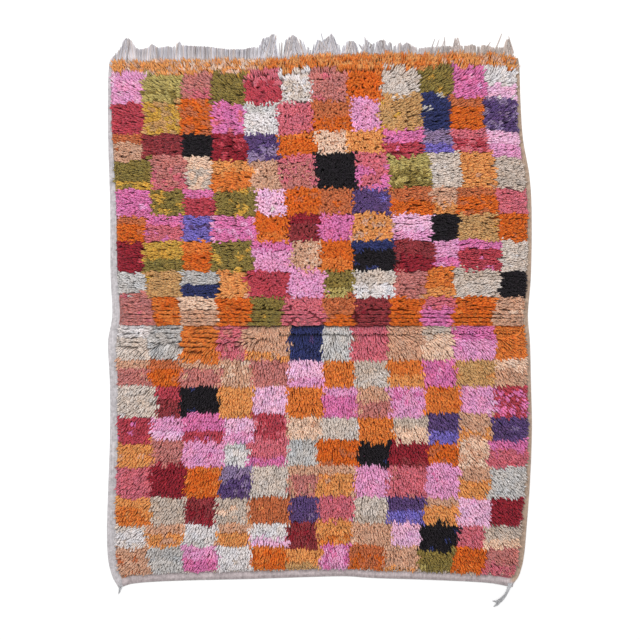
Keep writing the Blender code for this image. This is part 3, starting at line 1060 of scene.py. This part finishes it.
def yarn_tree():
    """Nodes that set a yarn pattern on every point, turn it, and lay out its own map."""
    group = bpy.data.node_groups.new("Yarn ends", "GeometryNodeTree")
    for name, kind in (
        ("Geometry", "Geometry"), ("Patterns", "Collection"), ("Variants", "Int"),
        ("Turn Spread", "Float"), ("Tilt Spread", "Float"), ("Size Spread", "Float"),
        ("Strands", "Int"), ("Map Cells", "Int"), ("Seed", "Int"), ("Material", "Material"),
    ):
        group.interface.new_socket(name, in_out="INPUT", socket_type="NodeSocket" + kind)
    group.interface.new_socket("Geometry", in_out="OUTPUT", socket_type="NodeSocketGeometry")
    tree = Tree(group)
    given = tree.add("NodeGroupInput")

    def chance(low, high, step, kind="FLOAT"):
        return tree.add("FunctionNodeRandomValue", {"data_type": kind},
                        {"Min": low, "Max": high, "Seed": given.other("Seed") + step})

    def spread(name, step):
        return chance(-1.0, 1.0, step) * given.other(name)

    def stored(name, kind="FLOAT"):
        return tree.add("GeometryNodeInputNamedAttribute", {"data_type": kind}, {"Name": name})

    patterns = tree.add("GeometryNodeCollectionInfo", None, {
        "Collection": given.other("Patterns"), "Separate Children": True, "Reset Children": True})
    picked = stored("form", "INT") * given.other("Variants")
    picked = picked + chance(0, given.other("Variants") - 1, 1, "INT")
    rotation = tree.add("ShaderNodeCombineXYZ", None, {
        "Y": spread("Tilt Spread", 3), "Z": stored("azimuth") + spread("Turn Spread", 2)})
    size = spread("Size Spread", 4) + 1.0
    scale = tree.add("ShaderNodeCombineXYZ", None, {
        "X": stored("reach") * size, "Y": stored("girth"), "Z": stored("rise") * size})
    placed = tree.add("GeometryNodeInstanceOnPoints", None, {
        "Points": given, "Instance": patterns, "Pick Instance": True, "Instance Index": picked,
        "Rotation": rotation, "Scale": scale})
    real = tree.add("GeometryNodeRealizeInstances", None, {"Geometry": placed})

    own = tree.add("ShaderNodeSeparateXYZ", None, {"Vector": stored("Yarn", "FLOAT_VECTOR")})
    cell = stored("cell", "INT") * given.other("Strands") + stored("strand", "INT")
    across = given.other("Map Cells")
    column = cell.math("FLOORED_MODULO", cell, across)
    row = cell.math("FLOOR", cell / across)
    width = 1.0 - 2 * MAP_MARGIN
    place = tree.add("ShaderNodeCombineXYZ", None, {
        "X": (column + MAP_MARGIN + own * width) / across,
        "Y": (row + MAP_MARGIN + own.other("Y") * width) / across})
    mapped = tree.add("GeometryNodeStoreNamedAttribute", {"data_type": "FLOAT2", "domain": "CORNER"},
                      {"Geometry": real, "Name": "OFBake", "Value": place})
    painted = tree.add("GeometryNodeSetMaterial", None, {
        "Geometry": mapped, "Material": given.other("Material")})
    tree.add("NodeGroupOutput", None, {"Geometry": painted})
    return group


# A yarn pattern's place, turn, stretch along, across and up, form and colour
Spot = namedtuple("Spot", "place azimuth reach girth rise form colour")


def store(mesh, name, kind, values):
    """Put one value, or one colour, on each point of a mesh."""
    layer = mesh.attributes.new(name, kind, "POINT")
    field = "color" if kind == "FLOAT_COLOR" else "value"
    layer.data.foreach_set(field, np.array(values, np.int32 if kind == "INT" else np.float32).ravel())


def grow_yarns(name, spots, tree, inputs):
    """Run the yarn tree on a list of spots and return the plain mesh."""
    points = bpy.data.meshes.new(name)
    points.vertices.add(len(spots))
    points.vertices.foreach_set("co", np.array([spot.place for spot in spots], np.float32).ravel())
    for key in ("azimuth", "reach", "girth", "rise"):
        store(points, key, "FLOAT", [getattr(spot, key) for spot in spots])
    store(points, "form", "INT", [spot.form for spot in spots])
    store(points, "cell", "INT", range(len(spots)))
    store(points, "dye", "FLOAT_COLOR", [spot.colour for spot in spots])
    holder = bpy.data.objects.new(name + "_points", points)
    bpy.context.scene.collection.objects.link(holder)
    modifier = holder.modifiers.new("Yarn ends", "NODES")
    modifier.node_group = tree
    cells = math.ceil(math.sqrt(len(spots) * inputs["Strands"]))
    inputs = {**inputs, "Variants": VARIANTS, "Map Cells": cells}
    for item in tree.interface.items_tree:
        if item.in_out == "INPUT" and item.name in inputs:
            modifier[item.identifier] = inputs[item.name]
    depsgraph = bpy.context.evaluated_depsgraph_get()
    mesh = bpy.data.meshes.new_from_object(
        holder.evaluated_get(depsgraph), preserve_all_data_layers=True, depsgraph=depsgraph)
    mesh.name = name
    holder.modifiers.remove(modifier)
    bpy.data.objects.remove(holder)
    bpy.data.meshes.remove(points)
    if not mesh.polygons:
        raise RuntimeError(f"the yarn tree made nothing for {name}")
    return mesh


def add_piece(name, mesh, replaced=()):
    """Link a finished mesh as a piece that rides on the rug."""
    piece = bpy.data.objects.new(name, mesh)
    bpy.context.scene.collection.objects.link(piece)
    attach(piece, BODY)
    if replaced:
        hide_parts(*replaced)
    return piece


def wool_material(name, root_shade, tip_fade_and_highlight, bump_height):
    """Matt wool of two plies in each yarn's own dye.

    Dark dyes are darker in the knot by painted shade and pale ones lighter there by painted light,
    and the cut ends are paler, partly as faded wool and partly as a painted highlight.
    """
    material, shader, tree = new_material(name, roughness=0.92, specular=0.2)
    for place, value in (
        ("Sheen Weight", 0.03), ("Sheen Roughness", 0.5), ("Subsurface Weight", 0.5),
        ("Subsurface Radius", (1.0, 1.0, 1.0)), ("Subsurface Scale", 0.004),
    ):
        tree.feed(shader, place, value)

    dye = tree.attribute("dye")
    paleness = dye.other("Fac")
    own = tree.add("ShaderNodeUVMap", {"uv_map": "Yarn"})
    around = tree.add("ShaderNodeSeparateXYZ", None, {"Vector": own})
    along = around.other("Y")
    shade = tree.attribute("shade").other("Fac")
    spot = tree.add("ShaderNodeTexCoord").other("Object")
    fibres = tree.noise(spot, FIBRES[0])
    combed = tree.add("ShaderNodeCombineXYZ", None, {
        "X": around * COMBING[0], "Y": along * COMBING[1], "Z": shade * COMBING[2]})
    streaks = tree.noise(combed, 1.0)

    # Painted shade darkens a dark dye's yarn towards its root, and painted light makes a pale dye's root
    # lighter
    depth = tree.step(along, *ROOT_SHADE_SPAN, paleness * PALE_ROOT_LIGHT + root_shade, 1.0)
    unevenness = UNEVENNESS[0] - paleness * UNEVENNESS[1]
    clouds = tree.noise(spot, WOOL_CLOUDS[0]) * WOOL_CLOUDS[1]
    level = WOOL_LEVEL + (shade - 0.5) * unevenness + clouds
    level = depth * (level + fibres * FIBRES[1] + streaks * COMBED)
    dark = tree.add("ShaderNodeVectorMath", {"operation": "SCALE"}, {"Vector": dye, "Scale": level})
    # The cut ends are paler: partly faded wool, partly a painted highlight
    faded_and_highlit = tree.add("ShaderNodeVectorMath", {"operation": "MULTIPLY_ADD"}, {
        "Vector": dark, "Vector_001": FADE_AND_HIGHLIGHT_GAIN, "Vector_002": FADE_AND_HIGHLIGHT_WHITE})
    tip = tree.step(along, *CUT_END, 0.0, tip_fade_and_highlight)
    tree.feed(shader, "Base Color", tree.mix(tip, dark, faded_and_highlit))

    twist = (along * PLY_TURNS[0] + around * PLY_TURNS[1]) * math.tau
    ply = twist.math("SINE", twist) * PLY_RELIEF + fibres * FIBRE_RELIEF + streaks
    tree.feed(shader, "Normal", tree.add("ShaderNodeBump", None, {
        "Strength": WOOL_BUMP, "Distance": bump_height, "Height": ply}))
    return material


def lean_at(x, y, nominal):
    """Which way the pile leans at a place, and the form of the knot there."""
    u = x / HALF_WIDTH
    side = math.copysign(smooth_step(*PARTING, abs(u)), u)
    if nominal > FOLD_Y:
        return lean_above(x, y, nominal, side)
    return lean_below(x, y, nominal, side)


def lean_above(x, y, nominal, side):
    """Above the fold the pile parts to both sides, and at the head it is brushed to the fringe."""
    if nominal - FOLD_Y < FOLD_BAND + FOLD_EDGE(x):
        way = side if abs(side) > SLIGHT else MIDDLE_WAY(x, y)
        return Vector((math.copysign(1.0, way), 0.0)), FOLDED
    share = (nominal - FOLD_Y) / (CLOTH.pile_end - FOLD_Y)
    head = smooth_step(*BRUSHING, share)
    rising = RISING_PULL * smooth_step(*RISING, share) * abs(side)
    pull = Vector((side * (1 - HEAD_NARROWING * head), head * HEAD_PULL + rising * (1 - head)))
    pull += Vector([eddy(x, y) for eddy in EDDY_ABOVE]) * EDDIES_ABOVE
    if head > BRUSHED_FROM:
        return pull, BRUSHED
    if pull.length > LYING_FROM:
        return pull, LYING
    return pull, LEANING if pull.length > LEANING_FROM else UPRIGHT


def lean_below(x, y, nominal, side):
    """Below the fold the pile hangs to the foot, outwards at the sides, and lies folded at the left."""
    depth = FOLD_Y - nominal
    if depth < LEFT_FOLD_BAND + LEFT_FOLD_EDGE(x) and x < LEFT_FOLDS + LEFT_FOLDS_END(0.0, y):
        form = FOLDED if FOLD_GAPS(x, nominal) > FOLD_GAPS_BELOW else LYING
        return Vector(LEFT_FOLD_PULL), form
    u = x / HALF_WIDTH
    beside = 1 - smooth_step(*BESIDE_FOLD, depth / (FOLD_Y - CLOTH.pile_start))
    pull = Vector((OUTWARD_PULL * u * abs(u) ** OUTWARD_CURVE, -1.0))
    pull = pull.lerp(Vector((side, BESIDE_PULL)), beside * abs(side))
    pull += Vector([eddy(x, y) for eddy in EDDY_BELOW]) * EDDIES_BELOW
    return pull, LONG


def knot_rows(settings):
    """Nominal heights of the rows of knots, counted away from the fold both ways."""
    rows = [FOLD_Y + offset for offset in ROWS_ABOVE_FOLD]
    while rows[-1] + settings.row_pitch < CLOTH.pile_end - ROW_MARGIN:
        rows.append(rows[-1] + settings.row_pitch)
    below = [FOLD_Y - offset for offset in ROWS_BELOW_FOLD]
    while below[-1] - settings.row_pitch > CLOTH.pile_start + ROW_MARGIN:
        below.append(below[-1] - settings.row_pitch)
    return below[::-1] + rows


def room_for(x, y, pull):
    """How far a yarn may reach its way before it would hide too much of a margin."""
    way = pull.normalized()
    foot = CLOTH.foot(clamp(x, *FOOT_CORNERS)) + (CLOTH.pile_start - CLOTH.foot_y)
    rooms = [1.0]
    for part, place, low, high in (
        (way.x, x, CLOTH.pile_left(y), CLOTH.pile_right(y)),
        (way.y, y, foot, CLOTH.head(x) + HEAD_COVER),
    ):
        if abs(part) > SLIGHT:
            rooms.append((place - low) / -part if part < 0 else (high - place) / part)
    return min(rooms) - STRAND_ROOM


def row_wave(x, nominal, in_fold, size):
    """How far a row of knots lies off its line at a place across."""
    wave = ROW_WAVE(x, nominal) * size * (WAVE_IN_FOLD if in_fold else 1.0)
    return wave + FOLD_WAVE(x, nominal * FOLD_STRETCH) * in_fold


def knot_dye(x, share, nominal, checks, rng):
    """The dye of a knot, with yarns mixed inside squares and along the foot."""
    chance = rng.random()
    if nominal < checks.end:
        chance = 0.5 + MIX_WAVE(x * MIX_STRETCH, nominal) + MIX_CHANCE * (chance - 0.5)
    dye = checks.dye_at(share, nominal + rng.uniform(-1, 1) * HEIGHT_CHANCE, chance)
    if nominal < checks.start + FOOT_MIX and rng.random() < FOOT_MIX_SHARE:
        return DYE["beige"]
    return dye


def lay_knots(settings, checks, dyes):
    """Place every knot, and sort the knots by the yarn piece that their dye belongs to."""
    rng = random.Random(settings.seed)
    groups = {}
    for number, nominal in enumerate(knot_rows(settings)):
        left = CLOTH.met(CLOTH.pile_left, nominal) + PILE_INSET
        right = CLOTH.met(CLOTH.pile_right, nominal) - PILE_INSET
        count = round((right - left) / settings.knot_pitch)
        in_fold = -LEFT_FOLD_BAND < nominal - FOLD_Y < FOLD_BAND
        shift = ROW_OFFSET * (number % 2 - 0.5)
        for step in range(count + 1):
            x = left + (right - left) * (step + shift) / count
            middle = 1 - smooth_step(*MIDDLE, abs(x))
            loose = FOLD_LOOSE if in_fold else 1.0 + MIDDLE_LOOSE * middle * (nominal > FOLD_Y)
            x = clamp(x + rng.uniform(-1, 1) * settings.knot_shift * loose, left, right)
            wave = row_wave(x, nominal, in_fold, settings.row_wave * (1 if in_fold else loose))
            inner = clamp(x, *FOOT_CORNERS) if nominal < FOLD_Y else x
            y = CLOTH.bend(inner, nominal) + wave + rng.uniform(-1, 1) * settings.knot_shift * loose
            dye = knot_dye(x, (x - left) / (right - left), nominal, checks, rng)
            pull, form = lean_at(x, y, nominal)
            if form == FOLDED:
                further = x + pull.x * FOLD_STRAND
                pull.y += (row_wave(further, nominal, True, settings.row_wave) - wave) / FOLD_STRAND
            level = 1.0 + rng.uniform(-LEVEL_CHANCE, LEVEL_CHANCE) + LEVEL_WAVE(x, y)
            azimuth = math.atan2(pull.y, pull.x) + rng.uniform(-1, 1) * FORMS[form].turn
            room = room_for(x, y, pull) + ROOM_CHANCE * rng.uniform(-1, 1) + ROOM_WAVE(x, y)
            if x > LEDGE_FROM and FOLD_Y - LEDGE < nominal < FOLD_Y:
                room = min(room, LEDGE - (FOLD_Y - nominal) + LEDGE_EDGE(x))
            reach = min(REACH + REACH_BY_LEAN * min(pull.length, 1.0),
                        max(room / FORMS[form].path[-1][0], SHORTEST_REACH))
            top = max(CLOTH.top(x, y), LOWEST_TOP)
            rise = (top - ROOT_HEIGHT) / (FORM_HEIGHT - ROOT_HEIGHT)
            tint = TINT_WAVE(x, y) + rng.uniform(-TINT_CHANCE, TINT_CHANCE)
            colour = scaled(scaled(linear(getattr(dyes, dye.name)), level), 1 + tint, 1.0, 1 - tint)
            groups.setdefault(dye.piece, []).append(
                Spot((x, y, ROOT_HEIGHT), azimuth, reach, 1.0, rise, form, colour))
    return groups


class RUG_OT_knotted_pile(bpy.types.Operator):
    """Knots the dyed yarns into squares, one piece for each group of dyes."""

    bl_idname = "rug.knotted_pile"
    bl_label = "Knotted pile"

    def execute(self, context):
        scene = context.scene
        settings = scene.rug_pile
        checks = Checks(scene.rug_checks)
        rng = random.Random(settings.seed)
        patterns = new_patterns("Knot patterns", [
            (f"knot_{number}_{variant:02d}", knot_yarns(form, settings, rng))
            for number, form in enumerate(FORMS) for variant in range(VARIANTS)])
        tree = yarn_tree()
        wool = wool_material("Dyed wool", root_shade=0.74, tip_fade_and_highlight=0.4, bump_height=0.0005)
        for piece, spots in lay_knots(settings, checks, scene.rug_dyes).items():
            mesh = grow_yarns("pile_" + piece, spots, tree, {
                "Patterns": patterns, "Turn Spread": settings.turn_spread,
                "Tilt Spread": settings.tilt_spread, "Size Spread": settings.size_spread,
                "Strands": MOST_STRANDS, "Seed": settings.seed, "Material": wool})
            add_piece("pile_" + piece, mesh)
        clear_patterns(patterns)
        return {"FINISHED"}


def raggedly(pair, ragged):
    """What every warp end has, and what the ragged ones add to it."""
    return pair[0] + pair[1] * ragged


def warp_spot(root, tip, height, girth, form, colour):
    """One warp end that runs over the floor from its root to its tip."""
    way = tip - root
    return Spot((root.x, root.y, height), math.atan2(way.y, way.x), way.length / WARP_END[-1][0],
                girth, 1.0, form, colour)


def lay_warp_ends(settings):
    """Place the warp ends along the head, drawn towards the tips of the ragged clumps."""
    rng = random.Random(settings.seed)
    start, end = FRINGE_EDGE[0][0], FRINGE_EDGE[-1][0]
    cool = Vector(linear(settings.colour)[:3])
    warm = Vector(linear(settings.warm_colour)[:3])
    spots = []
    count = round((end - start) / settings.yarn_pitch)
    for number in range(count + 1):
        x = start + (end - start) * number / count
        in_bundle = (x - start) / settings.bundle % 1.0 - 0.5
        rib = math.cos(math.tau * in_bundle)
        root = Vector((x, CLOTH.head(x) - WARP_ROOT))
        slope = (FRINGE_LINE(x + SLOPE_SPAN) - FRINGE_LINE(x - SLOPE_SPAN)) / (2 * SLOPE_SPAN)
        ragged = smooth_step(RAGGED_FROM, RAGGED_FROM + RAGGED_SPAN, x)
        drawn = clamp(slope * SLOPE_PULL, -SLOPE_PULL, SLOPE_PULL)
        drawn *= (FRINGE_LINE(x) - root.y) * raggedly(SLOPE_PULL_SHARE, ragged)
        drawn -= in_bundle * settings.bundle * BUNDLE_PULL * ragged
        drawn += FRINGE_WAVE(x) * raggedly(WANDER_SHARE, ragged)
        drawn += rng.gauss(0, raggedly(TIP_SPREAD, ragged))
        tip_x = clamp(x + drawn, start, end)
        short = abs(rng.gauss(0, raggedly(TIP_SHORT, ragged)))
        tip = Vector((tip_x, max(FRINGE_LINE(tip_x) - short, root.y + SHORTEST_END)))
        level = WARP_LEVEL + RIB_LEVEL * rib * rib + rng.uniform(*WARP_LEVELS)
        if rng.random() < DARKER_ENDS:
            level *= DARKER_LEVEL
        warmth = max(smooth_step(*WARM_FROM, x), WARM_CHANCE * rng.random() ** 2)
        form = TAPERED if ragged > MOSTLY_RAGGED or slope > STEEP else BLUNT
        spots.append(warp_spot(root, tip, WARP_HEIGHT + WARP_ARCH * rib, 1.0, form,
                               scaled(cool.lerp(warm, warmth), level)))
    for stray in STRAYS:
        root = Vector((stray.across, stray.along))
        tip = Vector((stray.tip_across, stray.tip_along))
        colour = scaled(cool.lerp(warm, smooth_step(*WARM_FROM, root.x)), rng.uniform(*STRAY_LEVELS))
        spots.append(warp_spot(root, tip, STRAY_HEIGHT, STRAY_GIRTH, TAPERED, colour))
    return spots


class RUG_OT_head_fringe(bpy.types.Operator):
    """Lays the cut warp ends out from the head in ragged clumps."""

    bl_idname = "rug.head_fringe"
    bl_label = "Head fringe"

    def execute(self, context):
        settings = context.scene.rug_fringe
        rng = random.Random(settings.seed)
        patterns = new_patterns("Warp patterns", [
            (f"warp_{form}_{variant:02d}", [warp_yarn(blunt, settings, rng)])
            for form, blunt in enumerate(WARP_BLUNT) for variant in range(VARIANTS)])
        wool = wool_material("Undyed warp", root_shade=0.85, tip_fade_and_highlight=0.4, bump_height=0.0004)
        mesh = grow_yarns("fringe_head", lay_warp_ends(settings), yarn_tree(), {
            "Patterns": patterns, "Turn Spread": WARP_TURN, "Tilt Spread": WARP_TILT,
            "Size Spread": 0.0, "Strands": 1, "Seed": settings.seed, "Material": wool})
        add_piece("fringe_head", mesh, ["head_fringe"])
        clear_patterns(patterns)
        return {"FINISHED"}


def tail_path(tail, yarn):
    """The way of one yarn that turns around a tail's middle line and parts from it at the end."""
    path = []
    last = len(tail.steps) - 1
    count = TAIL_FINENESS * last
    for number in range(count + 1):
        share = number / count
        at = share * last
        lower = min(int(at), last - 1)
        blend = smooth_step(0, 1, at - lower) * 0.5 + (at - lower) * 0.5
        here, after = (Vector((step.across, step.along, 0)) for step in tail.steps[lower:lower + 2])
        first, second = (step.width for step in tail.steps[lower:lower + 2])
        width = first + (second - first) * blend
        turn = math.tau * yarn / tail.yarns + math.tau * tail.turns * share
        apart = smooth_step(1 - tail.parting, 1, share) if tail.parting else 0.0
        side = math.cos(turn) * (1 - apart) + (TAIL_APART if yarn % 2 else -TAIL_APART) * apart
        lift = TAIL_HEIGHT + TAIL_ARCH * math.sin(turn)
        across = UP.cross((after - here).normalized())
        path.append(here.lerp(after, blend) + across * side * (width / 2 - TAIL_INSET) + UP * lift)
    return path


class RUG_OT_foot_tails(bpy.types.Operator):
    """Twists the two loose tails of warp off the foot's corners."""

    bl_idname = "rug.foot_tails"
    bl_label = "Foot tails"

    def execute(self, context):
        settings = context.scene.rug_fringe
        rng = random.Random(settings.seed)
        wool = wool_material("Tail warp", root_shade=0.9, tip_fade_and_highlight=0.0, bump_height=0.0004)
        for tail in TAILS:
            yarns = []
            for yarn in range(tail.yarns):
                shade = rng.random()
                yarns.append(Yarn(tail_path(tail, yarn), TAIL_RADIUS, TAIL_SIDES, rng.random(),
                                  TAIL_BLUNT, shade))
            mesh = yarn_mesh(tail.name, yarns)
            store(mesh, "dye", "FLOAT_COLOR", [linear(settings.tail_colour)] * len(mesh.vertices))
            mesh.materials.append(wool)
            add_piece(tail.name, mesh, ["foot_" + tail.name])
        return {"FINISHED"}


class RUG_OT_ground_weave(bpy.types.Operator):
    """Weaves the thin ground with its selvedges and its hem, and lays it as a sheet."""

    bl_idname = "rug.ground_weave"
    bl_label = "Ground weave"

    def execute(self, context):
        scene = context.scene
        mesh = weave_ground(scene.rug_cloth, Checks(scene.rug_checks), scene.rug_dyes)
        mesh.materials.append(ground_material())
        ground = add_piece("ground_weave", mesh, ["rug"])
        parts = [item.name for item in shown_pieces() if item != ground]
        return {"FINISHED"}


def ground_rows(settings):
    """Nominal heights of the ground's rows of points, closer together in the hem."""
    start, end = CLOTH.pile_start, CLOTH.head_y - HEAD_HEM
    count = round((end - start) / settings.cell)
    rows = [CLOTH.foot_y + step for step in HEM_ROWS]
    rows += [start + (end - start) * i / count for i in range(count + 1)]
    return rows + [CLOTH.head_y]


def ground_point(share, nominal, zone, settings, checks, dyes):
    """Height and colour of the ground at a share of its zone's width."""
    height = settings.thickness
    hem = nominal - CLOTH.foot_y
    if zone == UNDER_PILE:
        in_hem = nominal < CLOTH.pile_start
        wool = settings.hem_wool if in_hem else getattr(dyes, checks.dye_at(share, nominal).name)
    else:
        ribs = settings.left_ribs if zone == LEFT_SIDE else settings.right_ribs
        height += settings.rib_height * abs(math.sin(math.pi * share * ribs)) ** RIB_POWER
        right_wool = settings.tan_wool if hem > HEM_CORNER else settings.hem_wool
        wool = settings.undyed if zone == LEFT_SIDE else right_wool
    colour = linear(wool)
    if hem < HEM_ROLL:
        height += settings.rib_height * math.sin(math.pi * hem / HEM_ROLL)
        # Painted shade darkens the hem's rolled outer edge
        colour = scaled(colour, HEM_EDGE_SHADOW)
    crease = math.exp(-((nominal - FOLD_Y - CREASE_OFFSET) / CREASE_WIDTH) ** 2)
    return height + settings.crease_rise * crease * CREASE_SHARE, colour


def weave_ground(settings, checks, dyes):
    """A closed sheet on a grid that is finer in the selvedges and the hem."""
    steps = (RIB_STEPS * settings.left_ribs, round(PILE_WIDTH / settings.cell),
             RIB_STEPS * settings.right_ribs)
    sides = (CLOTH.left, CLOTH.pile_left, CLOTH.pile_right, CLOTH.right)
    rows = ground_rows(settings)
    points, colours, pile_shadow_mask = [], [], []
    for nominal in rows:
        edges = [CLOTH.met(side, nominal) for side in sides]
        for zone, count in enumerate(steps):
            low, high = edges[zone:zone + 2]
            for i in range(count + (zone == RIGHT_SIDE)):
                x = low + (high - low) * i / count
                height, colour = ground_point(i / count, nominal, zone, settings, checks, dyes)
                points.append((x, CLOTH.bend(x, nominal), height))
                colours.append(colour)
                # The ground under the pile is marked for its painted shadow
                pile_shadow_mask.append(float(zone == UNDER_PILE and nominal >= CLOTH.pile_start))
    across = sum(steps) + 1
    total = len(points)
    top = [(a, a + 1, a + 1 + across, a + across)
           for row in range(len(rows) - 1) for a in range(row * across, row * across + across - 1)]
    bottom = [tuple(total + corner for corner in reversed(face)) for face in top]
    rim = list(range(across))
    rim += [row * across + across - 1 for row in range(1, len(rows))]
    rim += [(len(rows) - 1) * across + column for column in range(across - 2, -1, -1)]
    rim += [row * across for row in range(len(rows) - 2, 0, -1)]
    side = [(here, total + here, total + after, after)
            for here, after in zip(rim, rim[1:] + rim[:1])]
    flat = settings.thickness + settings.rib_height
    under = [(x, y, max(z - flat, 0.0)) for x, y, z in points]
    mesh = bpy.data.meshes.new("ground_weave")
    mesh.from_pydata(points + under, [], top + bottom + side)
    store(mesh, "dye", "FLOAT_COLOR", colours * 2)
    store(mesh, "under_pile", "FLOAT", pile_shadow_mask * 2)
    mesh.shade_smooth()
    check = bmesh.new()
    check.from_mesh(mesh)
    bmesh.ops.recalc_face_normals(check, faces=check.faces)
    check.to_mesh(mesh)
    check.free()
    return mesh


def ground_material():
    """Plain weave of undyed wool, with the knots' backs showing in their dyes."""
    material, shader, tree = new_material("Ground weave", roughness=0.95, specular=0.2)
    spot = tree.add("ShaderNodeTexCoord").other("Object")
    warp = tree.add("ShaderNodeSeparateXYZ", None, {"Vector": spot})
    weft = warp.other("Y") * (math.tau / WEFT_PITCH)
    warp = warp * (math.tau / WARP_PITCH)
    ribs = warp.math("SINE", warp) * WARP_RELIEF + weft.math("SINE", weft) * WEFT_RELIEF
    drawn_out = tree.add("ShaderNodeVectorMath", {"operation": "MULTIPLY"}, {
        "Vector": spot, "Vector_001": STREAK_STRETCH})
    level = GROUND_LEVEL
    for place, (scale, detail, strength) in (
        (spot, CLOUDS), (drawn_out, STREAKS), (spot, TUFTS), (spot, FINE_GRAIN),
    ):
        grain = tree.noise(place, scale, detail)
        level = level + (grain - 0.5) * strength
    # Painted shadow: the ground under the pile is darker
    pile_shadow_factor = 1.0 - tree.attribute("under_pile").other("Fac") * UNDER_PILE_SHADOW
    # The weave's ribs are painted lighter and darker: painted shade
    level = (level + ribs * RIB_SHADE) * pile_shadow_factor
    shaded = tree.add("ShaderNodeVectorMath", {"operation": "SCALE"},
                      {"Vector": tree.attribute("dye"), "Scale": level})
    tree.feed(shader, "Base Color", shaded)
    tree.feed(shader, "Normal", tree.add("ShaderNodeBump", None, {
        "Strength": GROUND_BUMP, "Distance": GROUND_DEPTH, "Height": ribs + grain * GRAIN_RELIEF}))
    return material


def stage_material(colour):
    """A plain floor with a hardly visible grain."""
    material, shader, tree = new_material("Pale floor", roughness=0.9)
    grain = tree.noise(tree.add("ShaderNodeTexCoord").other("Object"), 3.0)
    pale = linear(colour)
    tree.feed(shader, "Base Color", tree.mix(grain, scaled(pale, FLOOR_SHADE), pale))
    return material


class RUG_OT_stage(bpy.types.Operator):
    """Sets a pale floor, a soft lamp past the head and a camera straight above."""

    bl_idname = "rug.stage"
    bl_label = "Stage"

    def execute(self, context):
        scene = context.scene
        settings = scene.rug_stage
        half = settings.floor_size / 2
        data = bpy.data.meshes.new("floor")
        corners = ((-half, -half), (half, -half), (half, half), (-half, half))
        data.from_pydata([(x, y, FLOOR_LEVEL) for x, y in corners], [], [(0, 1, 2, 3)])
        data.materials.append(stage_material(settings.floor_colour))
        floor = bpy.data.objects.new("floor", data)
        scene.collection.objects.link(floor)
        floor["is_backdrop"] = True

        lamp = bpy.data.lights.new("Key light", "AREA")
        lamp.shape = "DISK"
        lamp.size = KEY_SIZE
        lamp.energy = settings.key_power
        key = bpy.data.objects.new("Key light", lamp)
        key.location = KEY_PLACE
        key.rotation_euler = (-key.location).to_track_quat("-Z", "Y").to_euler()
        scene.collection.objects.link(key)

        world = bpy.data.worlds.new("White surroundings")
        world.use_nodes = True
        background = world.node_tree.nodes["Background"]
        background.inputs["Color"].default_value = (1.0, 1.0, 1.0, 1.0)
        background.inputs["Strength"].default_value = settings.fill_strength
        scene.world = world
        scene.view_settings.view_transform = "Standard"

        lens = bpy.data.cameras.new("Camera")
        lens.sensor_width = SENSOR_WIDTH
        distance = settings.camera_height - FITTED_LEVEL
        lens.lens = SENSOR_WIDTH * distance / settings.picture_width
        camera = bpy.data.objects.new("Camera", lens)
        camera.location = (0.0, 0.0, settings.camera_height)
        scene.collection.objects.link(camera)
        scene.camera = camera
        return {"FINISHED"}


class RUG_PT_panel(bpy.types.Panel):
    """Lists the rug's settings and its steps."""

    bl_idname = "RUG_PT_panel"
    bl_label = "Boucherouite rug"
    bl_space_type = "VIEW_3D"
    bl_region_type = "UI"
    bl_category = "Rug"

    def draw(self, context):
        layout = self.layout
        for operator in OPERATORS:
            layout.operator(operator.bl_idname)
        for name, group in SETTINGS.items():
            box = layout.box()
            box.label(text=name.replace("_", " ").capitalize())
            for prop in group.__annotations__:
                box.prop(getattr(context.scene, name), prop)


OPERATORS = (RUG_OT_knotted_pile, RUG_OT_head_fringe, RUG_OT_foot_tails, RUG_OT_ground_weave,
             RUG_OT_stage)
CLASSES = (*SETTINGS.values(), *OPERATORS, RUG_PT_panel)


def register():
    for item in CLASSES:
        bpy.utils.register_class(item)
    for name, group in SETTINGS.items():
        setattr(bpy.types.Scene, name, bpy.props.PointerProperty(type=group))


def unregister():
    for name in SETTINGS:
        delattr(bpy.types.Scene, name)
    for item in reversed(CLASSES):
        bpy.utils.unregister_class(item)


def main():
    register()
    bpy.ops.rug.knotted_pile()
    bpy.ops.rug.head_fringe()
    bpy.ops.rug.foot_tails()
    bpy.ops.rug.ground_weave()
    bpy.ops.rug.stage()


if __name__ == "__main__":
    main()
